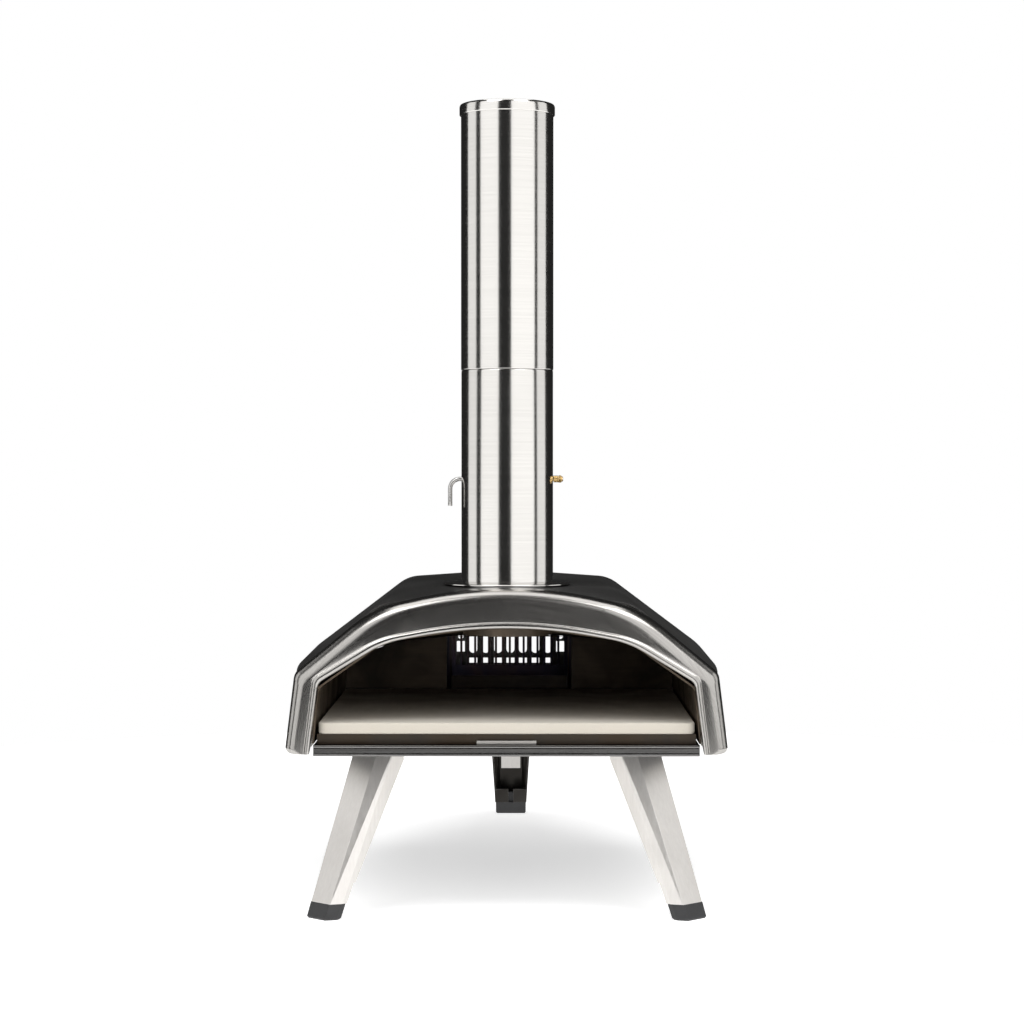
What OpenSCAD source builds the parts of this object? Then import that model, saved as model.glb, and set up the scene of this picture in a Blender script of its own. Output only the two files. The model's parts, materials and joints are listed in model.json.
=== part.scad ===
// Portable wood fired pizza oven: a double-skinned arched body on three folding legs, with a flue at
// the mouth and a pellet burner and hopper at the rear.
// Millimetres. The origin is on the floor at the centre of the bounding box, +Z is up, the mouth faces
// -Y, and X = 0 is the plane of symmetry.

/* [Body] */
// Overall width at the foot of the front trim
body_w = 396; // [390:1:402]
// Height of the bottom edge of the body above the floor
body_z = 148; // [146:1:149]
// Width of the mouth at its foot
mouth_w = 351; // [348:1:354]
// Sheet thickness of the body panels
sheet = 1.5; // [1.2:0.1:1.8]

/* [Baking stone] */
// Side of the square stone
stone_w = 336; // [330:1:338]
// Thickness of the stone
stone_t = 10; // [8:1:10]

/* [Chimney] */
// Height of the chimney's top above the floor
chimney_top_z = 740; // [720:1:760]
// Outer diameter of the lower tube
chimney_d = 85; // [84:0.5:86]
// Height of the joint between the two tubes
chimney_joint_z = 495; // [480:1:510]
// Height of the damper's axis
damper_z = 394; // [380:1:410]

/* [Hopper] */
// Width of the pellet hopper
hopper_w = 88; // [80:1:90]
// Height of the hopper's rim
hopper_z = 400; // [380:1:420]

/* [Legs] */
// Splay of each leg from the vertical, in degrees
splay = 22.6; // [21:0.1:23]
// Plan angle of the front legs from the X axis, in degrees
leg_angle = 46; // [45:1:48]

/* [Hidden] */
// The stone's front edge lies this far in front of the origin; depths are measured back from it
stone_front_y = -338;
function behind(d) = stone_front_y + d;

trim_front = behind(-12);
trim_back = behind(16);
rear_wall = behind(372);
fence = behind(480);
hatch = behind(600);
shell_back = behind(430);
cover_back = behind(597);
chimney_y = behind(95);
hopper_front = behind(497);
hopper_back = behind(587);

base_w = 343.6;
tray_z = body_z + 10;
stone_z = tray_z + 9;
burner_w = 130;
burner_low = tray_z + sheet;
burner_high = 232;
slot_low = 190;
slot_high = 226;
cover_top = 240;

// Flue and chimney radii; a sliding joint keeps 0.3 mm all round
tube_t = 1;
slip = 0.3;
tube_r = chimney_d / 2;
collar_r = 59;
collar_seat = 296.5;
collar_top = collar_seat + 3;
neck_r = tube_r - tube_t - slip;
neck_top = collar_top + 28;
flue_low = 250;
upper_r = tube_r + 0.3;
spigot_r = upper_r - tube_t - slip;
spigot_l = 22;
cap_r = upper_r + 1.4;
cap_h = 10;
cap_in = upper_r - tube_t - 0.6;
rod_r = 2;
rod_play = 0.06;
hook_x = -53;
hook_bend = 9;
hook_drop = 25;

// Side plane where the roofs of the shell and the liner meet their side walls
seam_x = 104;
// Screws along each side hem
base_screw_x = 182;
base_screw_d = [60:80:300];

// Legs: the pin of each lies inboard of the leg's outer face and under the base plate
pin_z = 137.5;
pin_in = 9;
pin_r = 2.5;
pin_play = 0.06;
pin_half = 14.5;
ear_y = 11.8;
ear_t = 1.5;
foot_h = 14;
front_foot = [171, 6.4];
rear_foot_back = 351.7;

// Arc of radius r that rounds the corner b of the path a-b-c, in n steps
function corner(a, b, c, r, n = 8) =
    let (
        u = (a - b) / norm(a - b),
        v = (c - b) / norm(c - b),
        half = acos(u * v) / 2,
        centre = b + (u + v) / norm(u + v) * r / sin(half),
        p = b + u * r / tan(half) - centre,
        q = b + v * r / tan(half) - centre,
        start = atan2(p.y, p.x),
        turn = (atan2(q.y, q.x) - start + 540) % 360 - 180
    )
    r == 0 ? [b] : [for (i = [0:n]) centre + r * [cos(start + turn * i / n), sin(start + turn * i / n)]];

// Closed path with every corner rounded to its own radius
function rounded(points, radii) =
    let (last = len(points) - 1)
    [for (i = [0:last]) each corner(points[i == 0 ? last : i - 1], points[i], points[i == last ? 0 : i + 1], radii[i])];

// Arch in the X-Z plane from three right-hand corners and the height where the crown's tangents meet.
// inset moves every corner inwards.
function arch(foot, knee, shoulder, apex, radii, inset = 0) =
    let (side = [for (p = [foot, knee, shoulder]) p - [inset, p == foot ? 0 : inset]])
    rounded(
        [for (p = side) [-p.x, p.y], [0, apex - inset], side[2], side[1], side[0]],
        [radii[0], radii[1], radii[2], radii[3], radii[2], radii[1], radii[0]]);

function trim_outer(inset = 0) =
    arch([body_w / 2, body_z + 2], [body_w / 2 - 8.8, 221.6], [118, 280], 306, [5, 12, 110, 380], inset);
function mouth(inset = 0, foot_z = body_z - 5) =
    arch([mouth_w / 2, foot_z], [mouth_w / 2 - 8.3, 213.4], [108.6, 249], 269.3, [0, 10, 90, 430], inset);

// Stations of the outer shell, front to back: depth, then the arch's corners
shell_front = [behind(10), [195, body_z + 2], [187, 221], [117, 279], 304.5];
shell_rise = [behind(60), [196.5, body_z + 2], [192.5, 224], [104, 291.5], 298.5];
shell_crown = [behind(250), [196, body_z + 2], [193.5, 225], [99.3, 296.6], 303.5];
shell_hip = [behind(310), [196, body_z + 2], [193.5, 225], [98, 291], 298];
shell_tail = [shell_back, [160, body_z + 2], [156, 205], [85, 252], 262];

// Slab of a plan outline along Y, between two depths
module along_y(y0, y1) {
    translate([0, y1, 0])
        rotate([90, 0, 0])
            linear_extrude(y1 - y0)
                children();
}

// Box from its lowest to its highest corner
module box(low, high) {
    translate(low)
        cube(high - low);
}

module shell_slice(s, inset, drop, at = 0) {
    along_y(s[0] + at - 0.05, s[0] + at + 0.05)
        polygon(arch(s[1] - [0, drop], s[2], s[3], s[4], [0, 15, 35, 380], inset));
}

// Solid under the outer shell, drawn in by inset and run down by drop
module shell_body(inset = 0, drop = 0) {
    hull() {
        shell_slice(shell_front, inset, drop);
        shell_slice(shell_rise, inset, drop);
    }
    hull() {
        shell_slice(shell_rise, inset, drop);
        shell_slice(shell_crown, inset, drop);
    }
    hull() {
        shell_slice(shell_crown, inset, drop);
        shell_slice(shell_hip, inset, drop);
    }
    hull() {
        shell_slice(shell_hip, inset, drop);
        shell_slice(shell_tail, inset, drop, inset == 0 ? 0 : 0.2);
    }
}

module liner_slice(y, foot, shoulder, apex, inset) {
    along_y(y - 0.5, y + 0.5)
        polygon(arch([foot, tray_z - 2 * abs(inset)], [foot - 4, 208], shoulder, apex, [0, 10, 60, 300], inset));
}

// Solid inside the cavity's liner
module liner_body(inset = 0) {
    hull() {
        liner_slice(behind(4) - inset, 173.5, [110, 250], 266, inset);
        liner_slice(rear_wall + inset, 173.5, [112, 226], 234, inset);
    }
}

// Part of a skin between two side planes
module between(x0, x1) {
    intersection() {
        children();
        box([x0, -600, 0], [x1, 600, 600]);
    }
}

// Black outer shell between the trim and the rear panel
module shell_skin() {
    difference() {
        shell_body();
        shell_body(sheet, 40);
        box([-body_w, behind(-5), 0], [body_w, trim_back + 0.3, 500]);
    }
}

// Crown of the outer shell with the collar's flat seat
module shell_roof() {
    color("#26272a")
        difference() {
            union() {
                difference() {
                    between(-seam_x, seam_x)
                        shell_skin();
                    translate([0, chimney_y, collar_seat])
                        cylinder(h = 30, r = collar_r + 1, $fn = 96);
                }
                translate([0, chimney_y, collar_seat - sheet])
                    cylinder(h = sheet, r = collar_r + 1.5, $fn = 96);
            }
            translate([0, chimney_y, 200])
                cylinder(h = 200, r = neck_r + 0.6, $fn = 96);
        }
}

// Right-hand wall, slope and foot hem of the outer shell
module shell_right() {
    color("#26272a")
        difference() {
            union() {
                between(seam_x, 300)
                    shell_skin();
                shell_hem();
            }
            for (d = base_screw_d)
                translate([base_screw_x, behind(d), body_z])
                    cylinder(h = 5, r = 2.05, $fn = 24);
        }
}

// Left-hand side of the outer shell, twin of the right-hand one
module shell_left() {
    mirror([1, 0, 0])
        shell_right();
}

// Inward hem along the foot, which closes the space between the two skins
module shell_hem() {
    hem_in = base_w / 2 + 0.7;
    translate([0, 0, body_z + 2])
        linear_extrude(sheet)
            polygon([[hem_in, behind(32)], [195, behind(32)], [195, behind(310)], [176, behind(372)],
                     [hem_in, behind(372)]]);
}

// Panel that closes the shell's rear end round the burner box
module shell_rear_panel() {
    color("#26272a")
        difference() {
            along_y(shell_back - 3, shell_back - 1.5)
                polygon(arch(shell_tail[1], shell_tail[2], shell_tail[3], shell_tail[4], [0, 15, 35, 380], 3));
            box([-burner_w / 2 - 2, shell_back - 10, 0], [burner_w / 2 + 2, shell_back + 10, burner_high + 0.5]);
            box([-125, shell_back - 10, 0], [125, shell_back + 10, tray_z + 0.3]);
        }
}

// Black housing round the burner, behind the shell
module rear_cover() {
    inner_top = cover_top - sheet;
    color("#26272a")
        difference() {
            along_y(shell_back + 0.5, cover_back)
                polygon([[-102.4, tray_z + 0.3], [-86, cover_top], [86, cover_top], [102.4, tray_z + 0.3]]);
            along_y(shell_back, cover_back - sheet)
                polygon([[-100.8, tray_z - 1], [-84.8, inner_top], [84.8, inner_top], [100.8, tray_z - 1]]);
            box([-burner_w / 2 - 2, cover_back - 5, 100], [burner_w / 2 + 2, cover_back + 5, burner_high + 0.5]);
            box([-38, hopper_front + 7, 230], [38, hopper_back - 7, 260]);
        }
}

// Rounded sheet-steel frame of the mouth, hollow behind, with a rolled inner lip
module front_trim() {
    lip = 4;
    color("#b9b7b2")
        difference() {
            union() {
                difference() {
                    hull() {
                        along_y(trim_front, trim_front + 0.5)
                            polygon(trim_outer(8));
                        along_y(trim_front + 4, trim_front + 4.5)
                            polygon(trim_outer(4.2));
                        along_y(trim_front + 11, trim_front + 11.5)
                            polygon(trim_outer(1.3));
                        along_y(trim_back - 6, trim_back)
                            polygon(trim_outer(0));
                    }
                    hull() {
                        along_y(trim_front + sheet, trim_front + 2)
                            polygon(trim_outer(9.5));
                        along_y(trim_front + 12, trim_back + 1)
                            polygon(trim_outer(3.2));
                    }
                }
                along_y(trim_front - 1.2, trim_front + 5)
                    polygon(mouth(-lip, body_z + 2));
            }
            along_y(trim_front - 20, trim_back + 20)
                polygon(mouth());
        }
}

// Dark inner skin of the cavity
module liner_skin() {
    difference() {
        liner_body();
        liner_body(1.2);
    }
}

// Ceiling of the cavity, with the flue opening
module liner_roof() {
    color("#2b2621")
        difference() {
            between(-seam_x, seam_x)
                liner_skin();
            translate([0, chimney_y, 200])
                cylinder(h = 100, r = neck_r + 0.3, $fn = 96);
        }
}

// Right-hand wall and slope of the cavity
module liner_right() {
    color("#2b2621")
        between(seam_x, 300)
            liner_skin();
}

// Left-hand wall and slope of the cavity, twin of the right-hand one
module liner_left() {
    mirror([1, 0, 0])
        liner_right();
}

// Ceramic fibre between the skins
module insulation() {
    color("#d9d4c8")
        difference() {
            shell_body(sheet + 4, 0);
            liner_body(-2);
            box([-300, behind(0), 0], [300, shell_back + 20, body_z + 6]);
            box([-300, behind(0), 0], [300, behind(20), 400]);
            box([-300, rear_wall - 2, 0], [300, shell_back + 20, 400]);
            translate([0, chimney_y, 200])
                cylinder(h = 200, r = collar_r + 3, $fn = 64);
        }
}

// Rear wall of the cavity with the burner opening
module rear_wall_panel() {
    color("#2b2621")
        difference() {
            along_y(rear_wall + 1.3, rear_wall + 2.8)
                polygon(arch([172, tray_z], [168, 206], [112, 224], 232.5, [0, 10, 60, 300]));
            box([-burner_w / 2, rear_wall - 5, burner_low], [burner_w / 2, rear_wall + 9, 228]);
        }
}

// Sheet channel that carries the flame from the grate to the cavity
module burner_box() {
    half = burner_w / 2;
    color("#4a4642")
        difference() {
            box([-half - sheet, rear_wall + 3, tray_z], [half + sheet, hatch - 4, burner_high]);
            box([-half, rear_wall, burner_low], [half, hatch + 5, burner_high - sheet]);
            box([-31, hopper_front + 12, 200], [31, hopper_back - 12, 260]);
        }
}

// Upright plate that lifts the flame over the stone's back edge
module flame_guard() {
    color("#55504a")
        difference() {
            union() {
                box([-60, rear_wall - 7, tray_z + sheet], [60, rear_wall - 5.5, 188]);
                box([-60, rear_wall - 7, tray_z], [60, rear_wall + 1, tray_z + sheet]);
            }
            box([-42, rear_wall - 8, 176], [42, rear_wall - 6.3, 179]);
        }
}

// Pan under the whole body: plate, rim, and hems along the front flange
module base_tray() {
    front = behind(-8);
    hem_r = 1.3;
    color("#3a3b3d")
        union() {
            difference() {
                translate([0, 0, body_z])
                    linear_extrude(10)
                        polygon(base_outline(0));
                translate([0, 0, body_z - 1])
                    linear_extrude(11 - sheet)
                        polygon(base_outline(sheet));
            }
            for (z = [body_z + hem_r, tray_z - hem_r])
                translate([-base_w / 2, front, z])
                    rotate([0, 90, 0])
                        cylinder(h = base_w, r = hem_r, $fn = 24);
        }
}

function base_outline(inset) =
    let (w = base_w / 2 - inset, r = 96 - inset, f = behind(-8) + inset, b = behind(655) - inset)
    [[-w, f], [w, f], [w, behind(372)], [r, behind(455)], [r, b], [-r, b], [-r, behind(455)], [-w, behind(372)]];

// Shallow tray that carries the stone above the base plate
module stone_tray() {
    half = stone_w / 2 + 1;
    color("#3b3028")
        difference() {
            box([-half, behind(0), tray_z], [half, behind(352), stone_z]);
            box([-half + sheet, behind(sheet), tray_z - 1], [half - sheet, behind(360), stone_z - sheet]);
            for (x = [-110:55:110])
                box([x - 15, behind(60), stone_z - 5], [x + 15, behind(300), stone_z + 5]);
        }
}

// Small tab at the centre of the sill
module door_catch() {
    color("#8d8a85")
        difference() {
            box([-26.5, behind(-4), tray_z], [26.5, behind(0), tray_z + 3.5]);
            box([-24, behind(-2.8), tray_z + 1], [24, behind(0) + 1, tray_z + 5]);
        }
}

module baking_stone() {
    color("#e6e2d4")
        translate([0, behind(stone_w / 2), stone_z])
            linear_extrude(stone_t)
                polygon(rounded([[-1, -1], [1, -1], [1, 1], [-1, 1]] * (stone_w / 2), [6, 6, 6, 6]));
}

// Drawer front inside the burner: an upright fence of fine slots on a slotted floor
module fuel_grate() {
    count = 16;
    pitch = 7.53;
    slot = 5.05;
    half = count * pitch / 2 + 2.5;
    low = burner_low + 1;
    color("#77716a")
        difference() {
            union() {
                box([-half, fence, low], [half, fence + sheet, 229]);
                box([-half, fence, low], [half, hatch - 0.2, low + sheet]);
                for (side = [-1, 1])
                    translate([side * (half - sheet / 2) - sheet / 2, fence, low])
                        cube([sheet, hatch - 0.2 - fence, 18]);
            }
            for (i = [0:count - 1])
                translate([(i - (count - 1) / 2) * pitch - slot / 2, 0, 0]) {
                    box([0, fence - 5, slot_low], [slot, fence + 5, slot_high]);
                    box([0, fence + 10, low - 5], [slot, hatch - 12, low + 5]);
                }
        }
}

// Slotted rear hatch, drawer front and air inlet in one
module fuel_hatch() {
    pitch = 14.1;
    slot = 9.1;
    columns = 4;
    color("#77716a")
        difference() {
            box([-burner_w / 2 - 4, hatch, burner_low - 1], [burner_w / 2 + 4, hatch + sheet, burner_high + 1]);
            for (i = [-columns:columns])
                translate([i * pitch, hatch + 3, 0])
                    rotate([90, 0, 0])
                        if (abs(i) < columns)
                            hatch_slots(slot);
                        else
                            hatch_end_slots(slot);
            for (side = [-1, 1])
                translate([side * 33, hatch + 5, 171])
                    rotate([90, 0, 0])
                        cylinder(h = 10, r = 2.05, $fn = 32);
        }
}

module hatch_slots(slot) {
    translate([-slot / 2, 182.3, 0])
        cube([slot, 5.8, 6]);
    translate([0, 193.5 + slot / 2, 0])
        cylinder(h = 6, r = slot / 2, $fn = 32);
    translate([-slot / 2, 193.5 + slot / 2, 0])
        cube([slot, 24, 6]);
}

module hatch_end_slots(slot) {
    translate([-slot / 2, 195, 0])
        cube([slot, 12, 6]);
    translate([0, 212.5, 0])
        cylinder(h = 6, r = slot / 2 - 1.4, $fn = 32);
}

// Spacers between the hot hatch and its handle
module handle_standoffs() {
    color("#c9c7c2")
        for (side = [-1, 1])
            translate([side * 33, hatch + sheet + 16, 171])
                rotate([90, 0, 0])
                    difference() {
                        cylinder(h = 16, r = 4, $fn = 40);
                        translate([0, 0, -1])
                            cylinder(h = 18, r = 2.05, $fn = 32);
                    }
}

// Heat-proof grip bar of the hatch
module hatch_handle() {
    color("#1d1d1f")
        difference() {
            union() {
                translate([-41, hatch + sheet + 23, 171])
                    rotate([0, 90, 0])
                        cylinder(h = 82, r = 7, $fn = 48);
                for (side = [-1, 1])
                    translate([side * 41, hatch + sheet + 23, 171])
                        sphere(r = 7, $fn = 48);
            }
            for (side = [-1, 1])
                translate([side * 33, hatch + sheet + 24, 171])
                    rotate([90, 0, 0])
                        cylinder(h = 12, r = 2.05, $fn = 32);
        }
}

// Screws from inside the hatch through the standoffs into the grip
module handle_screws() {
    color("#c9c7c2")
        for (side = [-1, 1])
            translate([side * 33, hatch, 171])
                rotate([-90, 0, 0]) {
                    cylinder(h = 22, r = 2, $fn = 32);
                    translate([0, 0, -2])
                        cylinder(h = 2, r = 3.6, $fn = 32);
                }
}

// Square pellet tower with a foot flange
module hopper_body() {
    half = hopper_w / 2;
    color("#26272a")
        difference() {
            union() {
                box([-half, hopper_front, cover_top], [half, hopper_back, hopper_z]);
                box([-half - 9, hopper_front - 6, cover_top], [half + 9, hopper_back + 6, cover_top + sheet]);
            }
            box([-half + sheet, hopper_front + sheet, cover_top - 5], [half - sheet, hopper_back - sheet, hopper_z + 5]);
            for (side = [-1, 1])
                for (y = [hopper_front + 8, hopper_back - 8])
                    translate([side * (half + 4.5), y, cover_top - 1])
                        cylinder(h = 5, r = 2.05, $fn = 24);
        }
}

// Funnel that meters the pellets down onto the grate
module hopper_chute() {
    half = hopper_w / 2 - sheet - 0.2;
    color("#8d8a85")
        difference() {
            union() {
                chute_funnel(half, 0);
                box([-30, hopper_front + 13, burner_high - sheet], [30, hopper_back - 13, 252]);
            }
            chute_funnel(half - sheet, sheet);
            box([-30 + sheet, hopper_front + 13 + sheet, 200], [30 - sheet, hopper_back - 13 - sheet, 262]);
        }
}

// Tapered solid from the hopper's walls down to the throat
module chute_funnel(half, inset) {
    hull() {
        box([-half, hopper_front + 1.8 + inset, 310], [half, hopper_back - 1.8 - inset, 311 + inset]);
        box([-30 + inset, hopper_front + 13 + inset, 251 - inset], [30 - inset, hopper_back - 13 - inset, 252]);
    }
}

// Cap that lifts off the hopper
module hopper_lid() {
    half = hopper_w / 2 + slip + sheet;
    front = hopper_front - slip - sheet;
    back = hopper_back + slip + sheet;
    color("#b9b7b2")
        difference() {
            box([-half, front, hopper_z - 14], [half, back, hopper_z + sheet]);
            box([-half + sheet, front + sheet, hopper_z - 20], [half - sheet, back - sheet, hopper_z]);
            translate([0, (front + back) / 2, hopper_z - 5])
                cylinder(h = 20, r = 2.05, $fn = 32);
        }
}

// Turned knob of the lid
module lid_knob() {
    color("#1d1d1f")
        translate([0, (hopper_front + hopper_back) / 2, hopper_z + sheet])
            rotate_extrude($fn = 64)
                polygon(rounded([[0, 0], [9, 0], [6, 9], [16, 14], [15, 24], [0, 25]], [0, 1.5, 3, 3, 5, 0]));
}

// Flanged ring that the chimney stands on, and its neck inside the tube
module chimney_collar() {
    color("#c9c7c2")
        translate([0, chimney_y, 0])
            rotate_extrude($fn = 128)
                polygon([[neck_r - 1.2, collar_seat], [collar_r, collar_seat], [collar_r, collar_top - 1],
                         [collar_r - 1, collar_top], [neck_r, collar_top], [neck_r, neck_top],
                         [neck_r - 1.2, neck_top]]);
}

// Duct from the cavity's ceiling up to the collar
module flue_sleeve() {
    color("#77716a")
        translate([0, chimney_y, 0])
            rotate_extrude($fn = 96)
                polygon([[neck_r - 1.2, flue_low], [neck_r, flue_low], [neck_r, collar_seat - 0.1],
                         [neck_r - 1.2, collar_seat - 0.1]]);
}

// Lower tube, drawn in at its top to enter the upper one, with the damper's two holes
module chimney_lower() {
    color("#c9c7c2")
        difference() {
            translate([0, chimney_y, 0])
                rotate_extrude($fn = 128)
                    polygon([[tube_r - tube_t, collar_top], [tube_r, collar_top], [tube_r, chimney_joint_z - 1.5],
                             [tube_r - 0.6, chimney_joint_z - 0.3], [spigot_r, chimney_joint_z],
                             [spigot_r, chimney_joint_z + spigot_l], [spigot_r - tube_t, chimney_joint_z + spigot_l],
                             [spigot_r - tube_t, chimney_joint_z - 4], [tube_r - tube_t, chimney_joint_z - 6]]);
            translate([-tube_r - 5, chimney_y, damper_z])
                rotate([0, 90, 0])
                    cylinder(h = 2 * tube_r + 10, r = rod_r + rod_play, $fn = 32);
        }
}

module chimney_upper() {
    color("#c9c7c2")
        translate([0, chimney_y, chimney_joint_z + 0.1])
            difference() {
                cylinder(h = chimney_top_z - 1 - chimney_joint_z, r = upper_r, $fn = 128);
                translate([0, 0, -1])
                    cylinder(h = chimney_top_z, r = upper_r - tube_t, $fn = 128);
            }
}

// Rolled ring round the chimney's rim
module chimney_cap() {
    color("#c9c7c2")
        translate([0, chimney_y, 0])
            rotate_extrude($fn = 128)
                polygon([[upper_r, chimney_top_z - cap_h], [cap_r, chimney_top_z - cap_h],
                         [cap_r, chimney_top_z - 2.5], [cap_r - 0.8, chimney_top_z - 0.7],
                         [upper_r - 0.2, chimney_top_z], [cap_in, chimney_top_z], [cap_in, chimney_top_z - cap_h],
                         [upper_r - tube_t, chimney_top_z - cap_h], [upper_r - tube_t, chimney_top_z - 0.9],
                         [upper_r, chimney_top_z - 0.9]]);
}

// Butterfly plate, upright when the flue is open
module damper_plate() {
    color("#77716a")
        translate([0, chimney_y, damper_z])
            difference() {
                union() {
                    translate([0, 0.6, 0])
                        rotate([90, 0, 0])
                            cylinder(h = 1.2, r = tube_r - 4, $fn = 96);
                    translate([-30, 0, 0])
                        rotate([0, 90, 0])
                            cylinder(h = 60, r = rod_r + 1.2, $fn = 40);
                }
                translate([-60, 0, 0])
                    rotate([0, 90, 0])
                        cylinder(h = 120, r = rod_r, $fn = 40);
            }
}

// Rod through the tube, bent down outside into a hook
module damper_rod() {
    color("#a9a7a2")
        translate([0, chimney_y, damper_z])
            union() {
                translate([hook_x + hook_bend, 0, 0])
                    rotate([0, 90, 0])
                        cylinder(h = 52 - hook_x - hook_bend, r = rod_r, $fn = 40);
                translate([hook_x + hook_bend, 0, -hook_bend])
                    rotate([90, 0, 0])
                        rotate([0, 0, 90])
                            rotate_extrude(angle = 90, $fn = 64)
                                translate([hook_bend, 0])
                                    circle(r = rod_r, $fn = 24);
                translate([hook_x, 0, -hook_drop])
                    cylinder(h = hook_drop - hook_bend, r = rod_r, $fn = 40);
            }
}

// Brass spring that keeps the rod under tension
module damper_spring() {
    color("#b08a4a")
        translate([tube_r + 0.2, chimney_y, damper_z])
            rotate([0, 90, 0])
                rotate_extrude($fn = 48)
                    polygon([[rod_r, 0], [4.2, 0], [3.7, 0.7], [3.9, 1.4], [3.4, 2.1], [3.6, 2.8], [3.1, 3.5],
                             [3.3, 4.2], [2.9, 4.9], [rod_r, 4.9]]);
}

module damper_nut() {
    color("#b08a4a")
        difference() {
            union() {
                translate([tube_r + 5.1, chimney_y, damper_z])
                    rotate([0, 90, 0])
                        cylinder(h = 2.6, r = 3.9, $fn = 6);
                translate([tube_r + 7.7, chimney_y, damper_z])
                    rotate([0, 90, 0])
                        cylinder(h = 1.2, r = 3, $fn = 40);
            }
            translate([tube_r, chimney_y, damper_z])
                rotate([0, 90, 0])
                    cylinder(h = 20, r = rod_r, $fn = 40);
        }
}

// Puts a leg drawn with +X outwards and its outer face's foot at the origin in its place.
// place: -1 left front, 1 right front, 0 rear
module leg_at(place) {
    translate(place == 0 ? [0, rear_foot_back, 0] : [place * front_foot.x, behind(front_foot.y), 0])
        rotate([0, 0, place == 0 ? 90 : place < 0 ? 180 + leg_angle : -leg_angle])
            children();
}

// The same, with the origin at the hinge pin and +Z up along the splayed leg
module on_pin(place) {
    leg_at(place)
        translate([-pin_z * tan(splay) - pin_in, 0, pin_z])
            rotate([0, -splay, 0])
                children();
}

// Half width at the web, extra half width of the bevel, depth of the bevel, depth of the lip
leg_low = [12.1, 5, 8.9, 4.2];
leg_top = [15.5, 9.75, 9.5, 15.4];
leg_face = pin_in * cos(splay);
leg_reach = (pin_z - foot_h) / cos(splay) + 4;
leg_head = 19;
head_r = 18.5;

// Corner i of the leg's section, from the lip's edge round to the web, on one side, t of the way up
function leg_corner(i, side, t) =
    let (s = leg_low * (1 - t) + leg_top * t)
    [leg_face - 0.75, 0] + (
        i == 0 ? [-s[2] - s[3], side * (s[0] + s[1])] :
        i == 1 ? [-s[2], side * (s[0] + s[1])] : [0, side * s[0]]);

// Flat face between two section corners, running the length of the leg
module leg_sheet(i, i_side, j, j_side) {
    hull()
        for (end = [[0, -leg_reach], [1, leg_head]])
            for (c = [leg_corner(i, i_side, end[0]), leg_corner(j, j_side, end[0])])
                translate([c.x, c.y, end[1]])
                    cylinder(h = 0.1, r = sheet / 2, $fn = 16);
}

// Folded sheet channel: web, two bevels, two lips, and two tabs folded in below a notch to hold the foot
module leg_channel(place) {
    lip_end = leg_face - 0.75 - leg_low[2] - leg_low[3];
    notch = 24 - leg_reach;
    on_pin(place)
        difference() {
            union() {
                leg_sheet(2, -1, 2, 1);
                for (side = [-1, 1]) {
                    leg_sheet(1, side, 2, side);
                    leg_sheet(0, side, 1, side);
                    box([lip_end - 0.4, side < 0 ? -17.3 : 2.9, -leg_reach], [lip_end + 1.1, side < 0 ? -2.9 : 17.3, notch]);
                }
            }
            box([lip_end - 20, -40, -leg_reach - 5], [lip_end - 0.4, 40, notch + 2]);
            // The head is round about the pin so that it clears the base plate as the leg folds
            difference() {
                box([-60, -40, 0], [30, 40, 60]);
                translate([0, 50, 0])
                    rotate([90, 0, 0])
                        cylinder(h = 100, r = head_r, $fn = 64);
            }
        }
}

module leg(place) {
    color("#cfccc6")
        difference() {
            leg_channel(place);
            leg_at(place)
                box([-120, -60, -20], [60, 60, foot_h]);
        }
}

// Moulded foot: a block that carries the leg's section on to the floor and a plug inside the channel
module foot(place) {
    color("#1c1c1e")
        leg_at(place) {
            hull() {
                foot_slice(0, -1.2);
                foot_slice(1.6, 0.2);
                foot_slice(foot_h - 0.2, 0.4);
            }
            hull() {
                foot_slice(foot_h - 2, -2);
                foot_slice(foot_h + 12, -2);
            }
        }
}

module foot_slice(z, grow) {
    lean = z * tan(splay);
    deep = 14.2;
    w = leg_low[0] + grow;
    v = leg_low[0] + leg_low[1] + grow;
    translate([-lean, 0, z])
        linear_extrude(0.1)
            polygon([[grow, -w], [grow, w], [-9.3, v], [-deep - grow, v], [-deep - grow, -v], [-9.3, -v]]);
}

// Strap hinge leaf welded inside the web, with the knuckle that turns on the pin
module hinge_strap(place) {
    color("#b9b7b2")
        on_pin(place)
            difference() {
                union() {
                    box([leg_face - sheet - 1.6, -11, -92], [leg_face - sheet - 0.1, 11, 4]);
                    box([-1, -11, -3.5], [leg_face - sheet - 1, 11, 3.5]);
                    translate([0, 11, 0])
                        rotate([90, 0, 0])
                            cylinder(h = 22, r = 5, $fn = 48);
                }
                translate([0, 20, 0])
                    rotate([90, 0, 0])
                        cylinder(h = 40, r = pin_r + pin_play, $fn = 48);
            }
}

// U-bracket under the base plate whose two ears hold the pin
module leg_bracket(place) {
    top = tray_z - sheet - 0.1;
    color("#b9b7b2")
        leg_at(place)
            translate([-pin_z * tan(splay) - pin_in, 0, 0])
                difference() {
                    union() {
                        for (side = [-1, 1])
                            translate([0, side * (ear_y + ear_t / 2), 0])
                                bracket_ear(top);
                        box([-22, -ear_y - ear_t, top - sheet], [-3.2, ear_y + ear_t, top]);
                    }
                    translate([0, 20, pin_z])
                        rotate([90, 0, 0])
                            cylinder(h = 40, r = pin_r, $fn = 48);
                }
}

module bracket_ear(top) {
    translate([0, ear_t / 2, 0])
        rotate([90, 0, 0])
            linear_extrude(ear_t)
                polygon(rounded([[-3.2, top], [5.4, pin_z + 2], [5.8, pin_z - 5.8], [-6, pin_z - 5.8], [-22, top - 8],
                                 [-22, top]], [0, 2, 4.5, 5, 2, 0]));
}

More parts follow.
